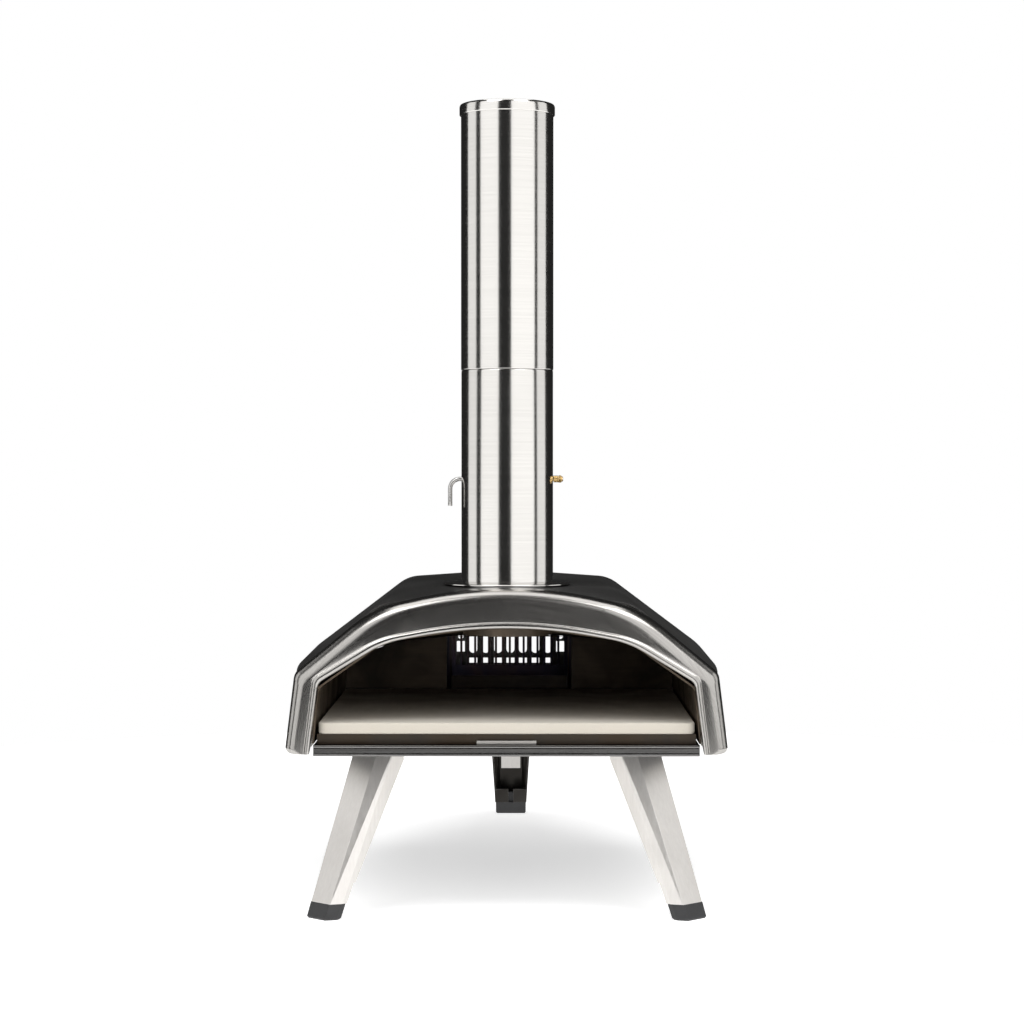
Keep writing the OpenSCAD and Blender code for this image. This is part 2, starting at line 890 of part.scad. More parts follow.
module hinge_pin(place) {
    color("#a9a7a2")
        leg_at(place)
            translate([-pin_z * tan(splay) - pin_in, 0, pin_z])
                rotate([90, 0, 0]) {
                    translate([0, 0, -pin_half])
                        cylinder(h = 2 * pin_half, r = pin_r, $fn = 48);
                    for (z = [-pin_half, pin_half - 1.1])
                        translate([0, 0, z])
                            cylinder(h = 1.1, r = pin_r + 1.6, $fn = 48);
                }
}

// Dome-headed screw pointing up, its head below z = 0
module dome_screw(shank) {
    rotate_extrude($fn = 32)
        polygon([[0, -2.2], [1.8, -2], [3.2, -1.2], [3.6, 0], [2, 0], [2, shank], [0, shank]]);
}

// Screws up through the hem into the base, along both sides
module base_screws() {
    color("#8d8a85")
        for (side = [-1, 1])
            for (d = base_screw_d)
                translate([side * base_screw_x, behind(d), body_z + 2])
                    dome_screw(1.4);
}

// Screws that hold the hopper's foot flange to the cover
module hopper_screws() {
    color("#8d8a85")
        for (side = [-1, 1])
            for (y = [hopper_front + 8, hopper_back - 8])
                translate([side * (hopper_w / 2 + 4.5), y, cover_top + sheet])
                    rotate([180, 0, 0])
                        dome_screw(sheet);
}

base_tray();
stone_tray();
door_catch();
baking_stone();
liner_roof();
liner_left();
liner_right();
insulation();
shell_roof();
shell_left();
shell_right();
front_trim();
rear_wall_panel();
flame_guard();
burner_box();
shell_rear_panel();
rear_cover();
fuel_grate();
fuel_hatch();
hatch_handle();
handle_standoffs();
handle_screws();
hopper_body();
hopper_chute();
hopper_lid();
lid_knob();
chimney_collar();
flue_sleeve();
chimney_lower();
chimney_upper();
chimney_cap();
damper_plate();
damper_rod();
damper_spring();
damper_nut();
leg(-1);  // left_leg
leg(1);  // right_leg
leg(0);  // rear_leg
hinge_strap(-1);  // left_hinge_strap
hinge_strap(1);  // right_hinge_strap
hinge_strap(0);  // rear_hinge_strap
leg_bracket(-1);  // left_leg_bracket
leg_bracket(1);  // right_leg_bracket
leg_bracket(0);  // rear_leg_bracket
hinge_pin(-1);  // left_hinge_pin
hinge_pin(1);  // right_hinge_pin
hinge_pin(0);  // rear_hinge_pin
foot(-1);  // left_foot
foot(1);  // right_foot
foot(0);  // rear_foot
base_screws();
hopper_screws();
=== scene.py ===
# %% [markdown]
# # A portable pizza oven, dressed round its CAD frame
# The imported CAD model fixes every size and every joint. This notebook adds what makes it look real:
# formed sheet steel, brushed grain, heat colours, a fired stone, and a plain studio. Each piece is
# modelled in metres in the same frame as the CAD, so it sits where the CAD says without any fitting.

# %% Load the frame
import json
import math

import bmesh
import bpy
from mathutils import Matrix, Vector


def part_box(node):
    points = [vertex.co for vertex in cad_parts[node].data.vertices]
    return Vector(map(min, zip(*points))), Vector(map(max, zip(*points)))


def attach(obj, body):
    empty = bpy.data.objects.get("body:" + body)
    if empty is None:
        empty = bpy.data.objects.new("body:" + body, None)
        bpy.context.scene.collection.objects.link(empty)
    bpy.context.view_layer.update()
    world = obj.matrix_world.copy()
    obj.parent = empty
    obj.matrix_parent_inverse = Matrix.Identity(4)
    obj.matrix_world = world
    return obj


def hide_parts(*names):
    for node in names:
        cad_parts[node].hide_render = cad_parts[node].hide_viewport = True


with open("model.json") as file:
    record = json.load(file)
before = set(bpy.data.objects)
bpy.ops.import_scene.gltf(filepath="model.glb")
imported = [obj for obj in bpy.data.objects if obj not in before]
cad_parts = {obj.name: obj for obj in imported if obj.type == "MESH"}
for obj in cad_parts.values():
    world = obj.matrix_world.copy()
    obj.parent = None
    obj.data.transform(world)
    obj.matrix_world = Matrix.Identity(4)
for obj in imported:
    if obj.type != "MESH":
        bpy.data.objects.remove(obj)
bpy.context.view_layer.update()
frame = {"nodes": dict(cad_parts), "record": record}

MM = 0.001
CLOSE = 0.001 * MM

# %% [markdown]
# ## Camera
# The oven is seen from the front, from a little above the stone, with a long lens. A long lens keeps
# the flue upright and hardly foreshortens the body. The camera comes first because every later choice
# is judged through it.

# %% Place the camera
CAMERA_AT = (0.0165, -2.518, 0.407)
CAMERA_DOWN = math.radians(1.10)
CAMERA_LEFT = math.radians(0.304)
LENS_MM = 86.13

eye = bpy.data.cameras.new("front_view")
eye.lens, eye.sensor_width = LENS_MM, 36.0
camera = bpy.data.objects.new("front_view", eye)
bpy.context.scene.collection.objects.link(camera)
camera.location = CAMERA_AT
camera.rotation_euler = (math.pi / 2 - CAMERA_DOWN, 0, CAMERA_LEFT)
bpy.context.scene.camera = camera
print("camera at", CAMERA_AT, "lens", LENS_MM)

# %% [markdown]
# ## Working by hand, in code
# An operator acts on everything that is selected, so each piece starts from an empty selection, and
# faces and edges are then picked by where they are. These few helpers do the picking, the lifting of
# modifiers and the last clean-up, and are used by every piece below.

# %% Helpers for selecting and shaping
def clear_selection():
    if bpy.context.object and bpy.context.object.mode != "OBJECT":
        bpy.ops.object.mode_set(mode="OBJECT")
    bpy.ops.object.select_all(action="DESELECT")


def start(name, primitive, **place):
    """Adds one primitive with nothing else selected and opens it in edit mode."""
    clear_selection()
    primitive(**place)
    piece = bpy.context.object
    piece.name = piece.data.name = name
    bpy.ops.object.mode_set(mode="EDIT")
    return piece


def pick(piece, kind, test, more=False):
    """Selects the vertices, edges or faces of an open piece that pass a test of their place."""
    bpy.ops.mesh.select_mode(type=kind)
    if not more:
        bpy.ops.mesh.select_all(action="DESELECT")
    mesh = bmesh.from_edit_mesh(piece.data)
    found = [e for e in {"VERT": mesh.verts, "EDGE": mesh.edges, "FACE": mesh.faces}[kind] if test(e)]
    for element in found:
        element.select_set(True)
    mesh.select_flush_mode()
    bmesh.update_edit_mesh(piece.data)
    return len(found)


def upright(edge):
    """True for an edge that stands on Z and is long enough to be a corner of a piece."""
    run = edge.verts[1].co - edge.verts[0].co
    return abs(run.z) > 5 * MM and run.xy.length < CLOSE


def one_sided(edge):
    """True for an edge on the rim of an open sheet."""
    return len(edge.link_faces) == 1


def modifier(piece, kind, **settings):
    """Adds a modifier to a closed piece and applies it."""
    clear_selection()
    piece.select_set(True)
    bpy.context.view_layer.objects.active = piece
    added = piece.modifiers.new(kind.title(), kind)
    for key, value in settings.items():
        setattr(added, key, value)
    bpy.ops.object.modifier_apply(modifier=added.name)


def close(piece, smooth=30):
    """Leaves edit mode, puts the piece's place into its mesh and smooths its gentle edges."""
    clear_selection()
    piece.select_set(True)
    bpy.context.view_layer.objects.active = piece
    bpy.ops.object.transform_apply(location=True, rotation=True, scale=True)
    bpy.ops.object.shade_smooth_by_angle(angle=math.radians(smooth))
    return piece


def tidy_normals():
    """Merges doubles and turns every face outwards, on the open piece."""
    bpy.ops.mesh.select_mode(type="VERT")
    bpy.ops.mesh.select_all(action="SELECT")
    bpy.ops.mesh.remove_doubles(threshold=0.01 * MM)
    bpy.ops.mesh.normals_make_consistent(inside=False)


def fit(piece, body, slot, *nodes):
    """Hands a finished piece to its body and hides the CAD nodes that it stands for."""
    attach(piece, body)
    if nodes:
        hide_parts(*nodes)
    size = piece.dimensions * 1000
    print(f"{piece.name}: {len(piece.data.polygons)} faces, {size.x:.0f} x {size.y:.0f} x {size.z:.0f} mm")
    return piece


# %% [markdown]
# ## Shared finishes
# Real metal is never one colour. A few effects turn up again and again on this oven: brushed grain,
# worn edges, heat colours and a haze of soot or handling. Each is a node group, built once, that puts
# out a mask or a colour. The shader itself stays in the material, so each finish sets its own gloss.

# %% Node helpers
def add(tree, kind, inputs=None, **settings):
    """Adds a shader node; an input is either a socket to link or a plain value."""
    made = tree.nodes.new("ShaderNode" + kind)
    for key, value in settings.items():
        setattr(made, key, value)
    for key, value in (inputs or {}).items():
        if isinstance(value, bpy.types.NodeSocket):
            tree.links.new(value, made.inputs[key])
        else:
            made.inputs[key].default_value = value
    return made


def maths(tree, operation, a, b=0.0, clamp=False):
    return add(tree, "Math", {0: a, 1: b}, operation=operation, use_clamp=clamp).outputs[0]


def new_group(name, inputs, outputs):
    tree = bpy.data.node_groups.new(name, "ShaderNodeTree")
    for label, kind, default in inputs:
        socket = tree.interface.new_socket(name=label, in_out="INPUT", socket_type="NodeSocket" + kind)
        if default is not None:
            socket.default_value = default
    for label, kind in outputs:
        tree.interface.new_socket(name=label, in_out="OUTPUT", socket_type="NodeSocket" + kind)
    return tree, tree.nodes.new("NodeGroupInput").outputs, tree.nodes.new("NodeGroupOutput").inputs


def put(tree, group, **inputs):
    """Places a shared group in a material."""
    return add(tree, "Group", {key.replace("_", " "): value for key, value in inputs.items()},
               node_tree=group).outputs


# %% [markdown]
# Brushing leaves short strokes in one direction. Noise does the same when its coordinates are squeezed
# along the stroke and stretched across it, so the stretch is an input and each sheet sets its own.

# %% Brushed grain
def make_brushed_grain():
    tree, given, out = new_group(
        "brushed grain",
        [("Vector", "Vector", None), ("Stretch", "Vector", (20.0, 20.0, 900.0))],
        [("Streaks", "Float")])
    along = add(tree, "VectorMath", {0: given["Vector"], 1: given["Stretch"]}, operation="MULTIPLY")
    streaks = add(tree, "TexNoise", {"Vector": along.outputs[0], "Scale": 1.0, "Detail": 4.0,
                                     "Roughness": 0.62})
    tree.links.new(streaks.outputs["Fac"], out["Streaks"])
    return tree


BRUSHED = make_brushed_grain()

# %% [markdown]
# The mouth frame is brushed along its arch, not straight across. Measuring each point by its distance
# from the middle of the sill, with the height stretched so that the arch becomes a circle, gives
# streaks that follow the frame all the way round.

# %% Arch coordinates
ARCH_FOOT = 0.150
ARCH_STRETCH = 1.27
ARCH_REACH = 0.2


def make_arch_coordinates():
    tree, given, out = new_group("arch coordinates", [("Vector", "Vector", None)], [("Round", "Vector")])
    xyz = add(tree, "SeparateXYZ", {"Vector": given["Vector"]}).outputs
    up = maths(tree, "MULTIPLY", maths(tree, "SUBTRACT", xyz["Z"], ARCH_FOOT), ARCH_STRETCH)
    far = maths(tree, "SQRT", maths(tree, "ADD", maths(tree, "MULTIPLY", xyz["X"], xyz["X"]),
                                    maths(tree, "MULTIPLY", up, up)))
    turn = maths(tree, "MULTIPLY", maths(tree, "ARCTAN2", up, xyz["X"]), ARCH_REACH)
    joined = add(tree, "CombineXYZ", {"X": turn, "Y": xyz["Y"], "Z": far})
    tree.links.new(joined.outputs[0], out["Round"])
    return tree


ARCH = make_arch_coordinates()

# %% [markdown]
# Edges wear first: paint rubs thin and steel polishes there. A Bevel node gives the normal that a
# rounded edge would have, and where that differs from the true normal there is an edge. Noise breaks
# the line up so that it doesn't look drawn.

# %% Edge wear
EDGE_GAIN = 9.0


def make_edge_wear():
    tree, given, out = new_group(
        "edge wear",
        [("Vector", "Vector", None), ("Radius", "Float", 0.0012), ("Amount", "Float", 1.0)],
        [("Worn", "Float")])
    rounded_normal = add(tree, "Bevel", {"Radius": given["Radius"]}, samples=4).outputs[0]
    true_normal = add(tree, "NewGeometry").outputs["Normal"]
    alike = add(tree, "VectorMath", {0: rounded_normal, 1: true_normal}, operation="DOT_PRODUCT")
    apart = maths(tree, "SUBTRACT", 1.0, alike.outputs["Value"])
    edge = maths(tree, "MULTIPLY", apart, EDGE_GAIN, clamp=True)
    breakup = add(tree, "TexNoise", {"Vector": given["Vector"], "Scale": 90.0, "Detail": 4.0})
    rubbed = add(tree, "MapRange", {"Value": breakup.outputs["Fac"], "From Min": 0.38, "From Max": 0.66})
    broken = maths(tree, "MULTIPLY", edge, rubbed.outputs[0])
    worn = maths(tree, "MULTIPLY", broken, given["Amount"], clamp=True)
    tree.links.new(worn, out["Worn"])
    return tree


WEAR = make_edge_wear()

# %% [markdown]
# Steel that has been hot turns straw, then bronze, then violet and blue. One ramp holds the colours,
# and each material says how hot each point has been.

# %% Heat tint
def make_heat_tint():
    tree, given, out = new_group("heat tint", [("Heat", "Float", 0.0)], [("Color", "Color")])
    ramp = add(tree, "ValToRGB", {"Fac": given["Heat"]})
    steps = [(0.0, (0.62, 0.60, 0.57)), (0.3, (0.60, 0.50, 0.34)), (0.5, (0.38, 0.24, 0.14)),
             (0.68, (0.20, 0.15, 0.22)), (0.84, (0.12, 0.15, 0.24)), (1.0, (0.09, 0.085, 0.08))]
    while len(ramp.color_ramp.elements) < len(steps):
        ramp.color_ramp.elements.new(0.5)
    for element, (at, colour) in zip(ramp.color_ramp.elements, steps):
        element.position, element.color = at, (*colour, 1)
    tree.links.new(ramp.outputs["Color"], out["Color"])
    return tree


HEAT = make_heat_tint()

# %% [markdown]
# Handling and weather leave a thin uneven haze. It lies in soft patches and a few drips, and makes the
# surface a little duller where it is thickest.

# %% Haze
def make_haze():
    tree, given, out = new_group(
        "haze",
        [("Vector", "Vector", None), ("Size", "Float", 9.0)],
        [("Haze", "Float"), ("Speckle", "Float")])
    broad = add(tree, "TexNoise", {"Vector": given["Vector"], "Scale": given["Size"], "Detail": 6.0,
                                   "Distortion": 0.6})
    soft = add(tree, "MapRange", {"Value": broad.outputs["Fac"], "From Min": 0.3, "From Max": 0.75},
               interpolation_type="SMOOTHSTEP")
    fine = add(tree, "TexNoise", {"Vector": given["Vector"], "Scale": 1400.0, "Detail": 2.0})
    tree.links.new(soft.outputs[0], out["Haze"])
    tree.links.new(fine.outputs["Fac"], out["Speckle"])
    return tree


HAZE = make_haze()
print("shared effects:", [g.name for g in bpy.data.node_groups])

# %% [markdown]
# ## Metals
# Every metal on the oven is the same recipe with other numbers: a base colour shifted by streaks and
# patches, a gloss that the grain breaks up, and a very shallow bump along the brushing. Polished flue
# tube has fine rings, the mouth frame has long strokes along its arch, the legs are blasted satin.

# %% Metal recipe
def mix(tree, factor, a, b):
    """Blends two colours; each is a socket or a plain red, green and blue."""
    made = add(tree, "Mix", {"Factor": factor}, data_type="RGBA")
    for socket, value in zip([s for s in made.inputs if s.type == "RGBA"], (a, b)):
        if isinstance(value, bpy.types.NodeSocket):
            tree.links.new(value, socket)
        else:
            socket.default_value = (*value, 1)
    return next(s for s in made.outputs if s.type == "RGBA")


def new_material(name):
    material = bpy.data.materials.new(name)
    material.use_nodes = True
    tree = material.node_tree
    shader = tree.nodes["Principled BSDF"]
    place = tree.nodes.new("ShaderNodeTexCoord").outputs["Object"]
    return material, tree, shader, place


def spread(tree, value, low, high):
    """Maps a 0 to 1 mask on to a range of values."""
    return add(tree, "MapRange", {"Value": value, "To Min": low, "To Max": high}).outputs[0]


def relief(tree, shader, height, depth, distance=0.0004):
    bump = add(tree, "Bump", {"Height": height, "Strength": depth, "Distance": distance})
    tree.links.new(bump.outputs[0], shader.inputs["Normal"])


def front_mask(tree, clear, full):
    """Mask of the faces that look forwards, read in a piece's own space so that it holds when it moves."""
    own_normal = tree.nodes.new("ShaderNodeTexCoord").outputs["Normal"]
    facing = add(tree, "SeparateXYZ", {"Vector": own_normal}).outputs["Y"]
    return add(tree, "MapRange", {"Value": facing, "From Min": clear, "From Max": full}).outputs[0]


def steel(name, light, dark, rough, stretch, depth=0.06, arch=False, wear=0.0, haze=0.25):
    material, tree, shader, place = new_material(name)
    shader.inputs["Metallic"].default_value = 1.0
    brushed_along = put(tree, ARCH, Vector=place)["Round"] if arch else place
    grain = put(tree, BRUSHED, Vector=brushed_along, Stretch=stretch)
    dull = put(tree, HAZE, Vector=place)
    colour = mix(tree, grain["Streaks"], dark, light)
    colour = mix(tree, maths(tree, "MULTIPLY", dull["Haze"], haze), colour, tuple(0.72 * c for c in dark))
    gloss = spread(tree, grain["Streaks"], rough[0], rough[1])
    gloss = maths(tree, "ADD", gloss, maths(tree, "MULTIPLY", dull["Haze"], 0.12 * haze))
    if wear:
        worn = put(tree, WEAR, Vector=place, Amount=wear)["Worn"]
        colour = mix(tree, worn, colour, tuple(min(1.0, 1.25 * c) for c in light))
        gloss = maths(tree, "SUBTRACT", gloss, maths(tree, "MULTIPLY", worn, 0.1))
    tree.links.new(colour, shader.inputs["Base Color"])
    tree.links.new(gloss, shader.inputs["Roughness"])
    relief(tree, shader, grain["Streaks"], depth)
    return material


# %% [markdown]
# Each steel below is the recipe with its own numbers: lightest and darkest colour, range of gloss, and
# the stretch of the grain. A large stretch along an axis makes the strokes thin across that axis.

# %% The oven's steels
tube_steel = steel("polished tube steel", (0.72, 0.705, 0.68), (0.56, 0.545, 0.52), (0.10, 0.17),
                   (9.0, 9.0, 1500.0), depth=0.015, haze=0.12)
trim_steel = steel("brushed frame steel", (0.50, 0.485, 0.465), (0.26, 0.25, 0.235), (0.15, 0.26),
                   (9.0, 700.0, 1400.0), depth=0.03, arch=True, wear=0.6, haze=0.25)
sill_steel = steel("brushed sill steel", (0.24, 0.235, 0.23), (0.15, 0.147, 0.143), (0.16, 0.26),
                   (9.0, 900.0, 1300.0), depth=0.03, wear=0.3)
hatch_steel = steel("brushed hatch steel", (0.58, 0.57, 0.55), (0.42, 0.41, 0.40), (0.22, 0.38),
                    (10.0, 10.0, 1200.0), depth=0.08, wear=0.6)
leg_steel = steel("satin leg steel", (0.80, 0.775, 0.745), (0.64, 0.615, 0.585), (0.30, 0.46),
                  (420.0, 420.0, 30.0), depth=0.10, wear=0.5, haze=0.3)
plated_steel = steel("plated fastener steel", (0.66, 0.65, 0.63), (0.50, 0.49, 0.48), (0.2, 0.34),
                     (500.0, 500.0, 500.0), depth=0.04, wear=0.4)
brass = steel("turned brass", (0.72, 0.50, 0.22), (0.52, 0.34, 0.13), (0.2, 0.36),
              (1400.0, 60.0, 60.0), depth=0.05, wear=0.5)

# %% [markdown]
# ## Paint, hot metal, stone and rubber
# The shell is powder coated: a near-black satin with a fine orange-peel texture that rubs to bare steel
# on its edges. The hot inside is steel that has gone through its tints to soot. The stone is cordierite,
# pale cream with darker grains, darker towards the back, with its front face painted greyer as painted shade.

# %% Powder coat
def powder_coat(name, colour, rough, wear=0.7):
    material, tree, shader, place = new_material(name)
    dull = put(tree, HAZE, Vector=place)
    worn = put(tree, WEAR, Vector=place, Amount=wear, Radius=0.0009)["Worn"]
    dust = tuple(min(1.0, 1.7 * c + 0.012) for c in colour)
    coat = mix(tree, spread(tree, dull["Haze"], 0.0, 0.55), colour, dust)
    coat = mix(tree, worn, coat, (0.34, 0.33, 0.32))
    tree.links.new(coat, shader.inputs["Base Color"])
    tree.links.new(worn, shader.inputs["Metallic"])
    gloss = maths(tree, "ADD", spread(tree, dull["Speckle"], rough - 0.07, rough + 0.07),
                  maths(tree, "MULTIPLY", dull["Haze"], 0.08))
    tree.links.new(gloss, shader.inputs["Roughness"])
    relief(tree, shader, dull["Speckle"], 0.22, 0.0003)
    return material


black_shell = powder_coat("black powder coat", (0.020, 0.0195, 0.019), 0.40)
tray_paint = powder_coat("dark tray paint", (0.055, 0.055, 0.057), 0.38)
print("paints made")

# %% [markdown]
# The burner runs hot, and bare steel there keeps the colours of its last fire. The heat is read from
# how far back each point lies, and a little haze makes the bands wander.

# %% Hot metal
def hot_metal(name, coolest, hottest, front, back, rough):
    """Steel tinted by heat along Y, from front to back."""
    material, tree, shader, place = new_material(name)
    shader.inputs["Metallic"].default_value = 0.85
    along = add(tree, "SeparateXYZ", {"Vector": place}).outputs["Y"]
    dull = put(tree, HAZE, Vector=place, Size=16.0)
    heat = add(tree, "MapRange", {"Value": along, "From Min": front, "From Max": back,
                                  "To Min": coolest, "To Max": hottest}).outputs[0]
    heat = maths(tree, "ADD", heat, maths(tree, "MULTIPLY", maths(tree, "SUBTRACT", dull["Haze"], 0.5), 0.22))
    tint = put(tree, HEAT, Heat=heat)["Color"]
    grain = put(tree, BRUSHED, Vector=place, Stretch=(15.0, 15.0, 700.0))
    colour = mix(tree, spread(tree, grain["Streaks"], 0.0, 0.5), tint, (0.05, 0.045, 0.04))
    tree.links.new(colour, shader.inputs["Base Color"])
    gloss = maths(tree, "ADD", spread(tree, grain["Streaks"], rough, rough + 0.14),
                  maths(tree, "MULTIPLY", dull["Haze"], 0.15))
    tree.links.new(gloss, shader.inputs["Roughness"])
    relief(tree, shader, grain["Streaks"], 0.08)
    return material


burner_steel = hot_metal("heat tinted burner steel", 0.80, 0.62, 0.02, 0.26, 0.3)

# %% [markdown]
# Inside the cavity soot covers the steel. It is nearly black and dull where it lies thick, and browner
# and shinier where it is thin, so one mask drives the colour, the metal and the gloss together.

# %% Sooted metal
def sooted(name, soot, bare, rough, bare_share):
    """Nearly black with soot, with thin patches where the browned metal shows."""
    material, tree, shader, place = new_material(name)
    dull = put(tree, HAZE, Vector=place, Size=22.0)
    grain = put(tree, BRUSHED, Vector=place, Stretch=(30.0, 12.0, 500.0))
    thin = maths(tree, "MULTIPLY", maths(tree, "SUBTRACT", 1.0, dull["Haze"]),
                 spread(tree, grain["Streaks"], 0.3, 1.0))
    colour = mix(tree, maths(tree, "MULTIPLY", thin, bare_share), soot, bare)
    tree.links.new(colour, shader.inputs["Base Color"])
    tree.links.new(spread(tree, thin, 0.25, 0.75), shader.inputs["Metallic"])
    tree.links.new(spread(tree, dull["Haze"], rough - 0.08, rough + 0.18), shader.inputs["Roughness"])
    relief(tree, shader, dull["Speckle"], 0.15)
    return material


liner_steel = sooted("sooted liner steel", (0.055, 0.043, 0.031), (0.22, 0.165, 0.115), 0.45, 0.8)
tray_dark = sooted("heat browned tray steel", (0.022, 0.016, 0.010), (0.080, 0.055, 0.034), 0.38, 0.7)
guard_steel = sooted("sooted flame guard", (0.016, 0.012, 0.010), (0.10, 0.075, 0.055), 0.34, 0.9)
catch_steel = steel("dull catch steel", (0.62, 0.60, 0.57), (0.44, 0.42, 0.40), (0.26, 0.4),
                    (20.0, 20.0, 900.0), depth=0.05, wear=0.5)

# %% [markdown]
# The rear leg is an open channel. Its outside is clean satin steel, but its hollow faces forwards, under
# the fire, and is painted near black there as painted shade. The normal in the leg's own space tells the
# two sides apart, and goes on doing so when the leg is folded.

# %% Rear leg
def channel_with_painted_shade():
    """Satin steel outside, with painted shade, near black, on the side that faces forwards."""
    material, tree, shader, place = new_material("channel steel with painted shade")
    shader.inputs["Metallic"].default_value = 0.9
    grain = put(tree, BRUSHED, Vector=place, Stretch=(420.0, 420.0, 30.0))
    dull = put(tree, HAZE, Vector=place)
    # painted shade: the side that faces forwards is painted near black, for the hollow under the oven
    painted_shade = maths(tree, "MULTIPLY", front_mask(tree, 0.05, -0.25), spread(tree, dull["Haze"], 0.99, 0.93))
    clean = mix(tree, grain["Streaks"], (0.60, 0.585, 0.565), (0.78, 0.765, 0.74))
    worn = put(tree, WEAR, Vector=place, Amount=0.4)["Worn"]
    colour = mix(tree, painted_shade, clean, (0.022, 0.019, 0.016))
    colour = mix(tree, maths(tree, "MULTIPLY", worn, 0.4), colour, (0.80, 0.785, 0.76))
    tree.links.new(colour, shader.inputs["Base Color"])
    tree.links.new(spread(tree, grain["Streaks"], 0.32, 0.48), shader.inputs["Roughness"])
    relief(tree, shader, grain["Streaks"], 0.10)
    return material


channel_steel = channel_with_painted_shade()

# %% [markdown]
# Cordierite is pressed from grains, so its cream body is mottled by a fine noise and by darker specks.
# It gets darker towards the back, in patches with ragged edges. Its front face is painted greyer: painted
# shade that tones down the light on it.

# %% Fired stone
BACK_DARK_START, BACK_DARK_FULL = -0.325, -0.12


def fired_stone():
    material, tree, shader, place = new_material("fired cordierite")
    along = add(tree, "SeparateXYZ", {"Vector": place}).outputs
    grains = add(tree, "TexVoronoi", {"Vector": place, "Scale": 420.0})
    fine = add(tree, "TexNoise", {"Vector": place, "Scale": 900.0, "Detail": 4.0})
    ragged_patches = add(tree, "TexNoise", {"Vector": place, "Scale": 16.0, "Detail": 7.0, "Distortion": 0.8})
    speck = add(tree, "MapRange", {"Value": grains.outputs["Distance"], "From Min": 0.08, "From Max": 0.3})
    body = mix(tree, fine.outputs["Fac"], (0.76, 0.71, 0.62), (0.88, 0.84, 0.76))
    body = mix(tree, spread(tree, speck.outputs[0], 0.14, 0.0), body, (0.45, 0.37, 0.26))
    # darker towards the back, in patches with ragged edges
    back = add(tree, "MapRange", {"Value": along["Y"], "From Min": BACK_DARK_START, "From Max": BACK_DARK_FULL})
    back_darkening = maths(tree, "MULTIPLY", maths(tree, "POWER", back.outputs[0], 1.2),
                    spread(tree, ragged_patches.outputs["Fac"], 0.35, 1.0), clamp=True)
    body = mix(tree, back_darkening, body, (0.17, 0.115, 0.07))
    # painted shade: the front face is painted greyer, to tone down the light falling on it
    painted_front_shade = maths(tree, "MULTIPLY", front_mask(tree, -0.2, -0.9), 0.7)
    body = mix(tree, painted_front_shade, body, (0.50, 0.455, 0.385))
    tree.links.new(body, shader.inputs["Base Color"])
    tree.links.new(spread(tree, fine.outputs["Fac"], 0.78, 0.94), shader.inputs["Roughness"])
    rise = maths(tree, "ADD", fine.outputs["Fac"], maths(tree, "MULTIPLY", speck.outputs[0], 0.6))
    relief(tree, shader, rise, 0.35, 0.0005)
    return material


# %% [markdown]
# Feet, grips and the fibre blanket are moulded or felted. All three take one recipe: a plain colour,
# paler where it is rubbed, over tiny pores.

# %% Rubber, nylon and fibre
def moulded(name, colour, rough, grain_scale, depth, wear=0.5):
    material, tree, shader, place = new_material(name)
    pores = add(tree, "TexVoronoi", {"Vector": place, "Scale": grain_scale})
    dull = put(tree, HAZE, Vector=place, Size=30.0)
    worn = put(tree, WEAR, Vector=place, Amount=wear, Radius=0.0008)["Worn"]
    pale = tuple(min(1.0, 2.2 * c + 0.02) for c in colour)
    tone = mix(tree, spread(tree, dull["Haze"], 0.0, 0.35), colour, pale)
    tone = mix(tree, maths(tree, "MULTIPLY", worn, 0.6), tone, pale)
    tree.links.new(tone, shader.inputs["Base Color"])
    tree.links.new(spread(tree, dull["Haze"], rough - 0.06, rough + 0.08), shader.inputs["Roughness"])
    relief(tree, shader, pores.outputs["Distance"], depth, 0.0003)
    return material


stone_finish = fired_stone()
foot_rubber = moulded("foot rubber", (0.018, 0.018, 0.019), 0.55, 1300.0, 0.2)
grip_nylon = moulded("grip nylon", (0.02, 0.02, 0.021), 0.45, 1800.0, 0.25)
fibre = moulded("ceramic fibre", (0.70, 0.67, 0.60), 0.9, 700.0, 0.8, wear=0.0)
print("materials made:", len(bpy.data.materials))

# %% [markdown]
# ## Outlines of the oven
# The trim, the mouth and the shell are all arches with a foot, a knee, a shoulder and a crown. One
# function rounds the corners of such an outline and gives the same number of points each time, so any
# two outlines can be bridged cleanly.

# %% Rounded arches
STEPS = (3, 6, 10, 8)


def corner(a, b, c, radius, steps):
    """Arc that rounds the corner b of the path a-b-c."""
    u, v = (a - b).normalized(), (c - b).normalized()
    half = math.acos(max(-1.0, min(1.0, u.dot(v)))) / 2
    centre = b + (u + v).normalized() * radius / math.sin(half)
    p = b + u * radius / math.tan(half) - centre
    q = b + v * radius / math.tan(half) - centre
    turn = (math.atan2(q.y, q.x) - math.atan2(p.y, p.x) + 3 * math.pi) % (2 * math.pi) - math.pi
    return [centre + Matrix.Rotation(turn * i / steps, 2) @ p for i in range(steps + 1)]


def arch(foot, knee, shoulder, apex, radii, inset=0.0):
    """Open outline in X and Z, left foot to right foot, in millimetres."""
    side = [Vector(p) - Vector((inset, 0 if p is foot else inset)) for p in (foot, knee, shoulder)]
    left = [Vector((-p.x, p.y)) for p in side]
    path = [*left, Vector((0, apex - inset)), *reversed(side)]
    sizes = [*radii, *reversed(radii[:3])]
    counts = [*STEPS[:3], 2 * STEPS[3], *reversed(STEPS[:3])]
    ring = [path[-1], *path, path[0]]
    points = []
    for i, (radius, count) in enumerate(zip(sizes, counts)):
        points += corner(ring[i], ring[i + 1], ring[i + 2], max(radius, 0.02), count)
    return points


def at_depth(points, y):
    """Stands a flat outline up in the model, at a depth in millimetres."""
    return [Vector((p.x, y, p.y)) * MM for p in points]


FRAME_RADII, MOUTH_RADII = (5, 12, 110, 380), (0, 10, 90, 430)


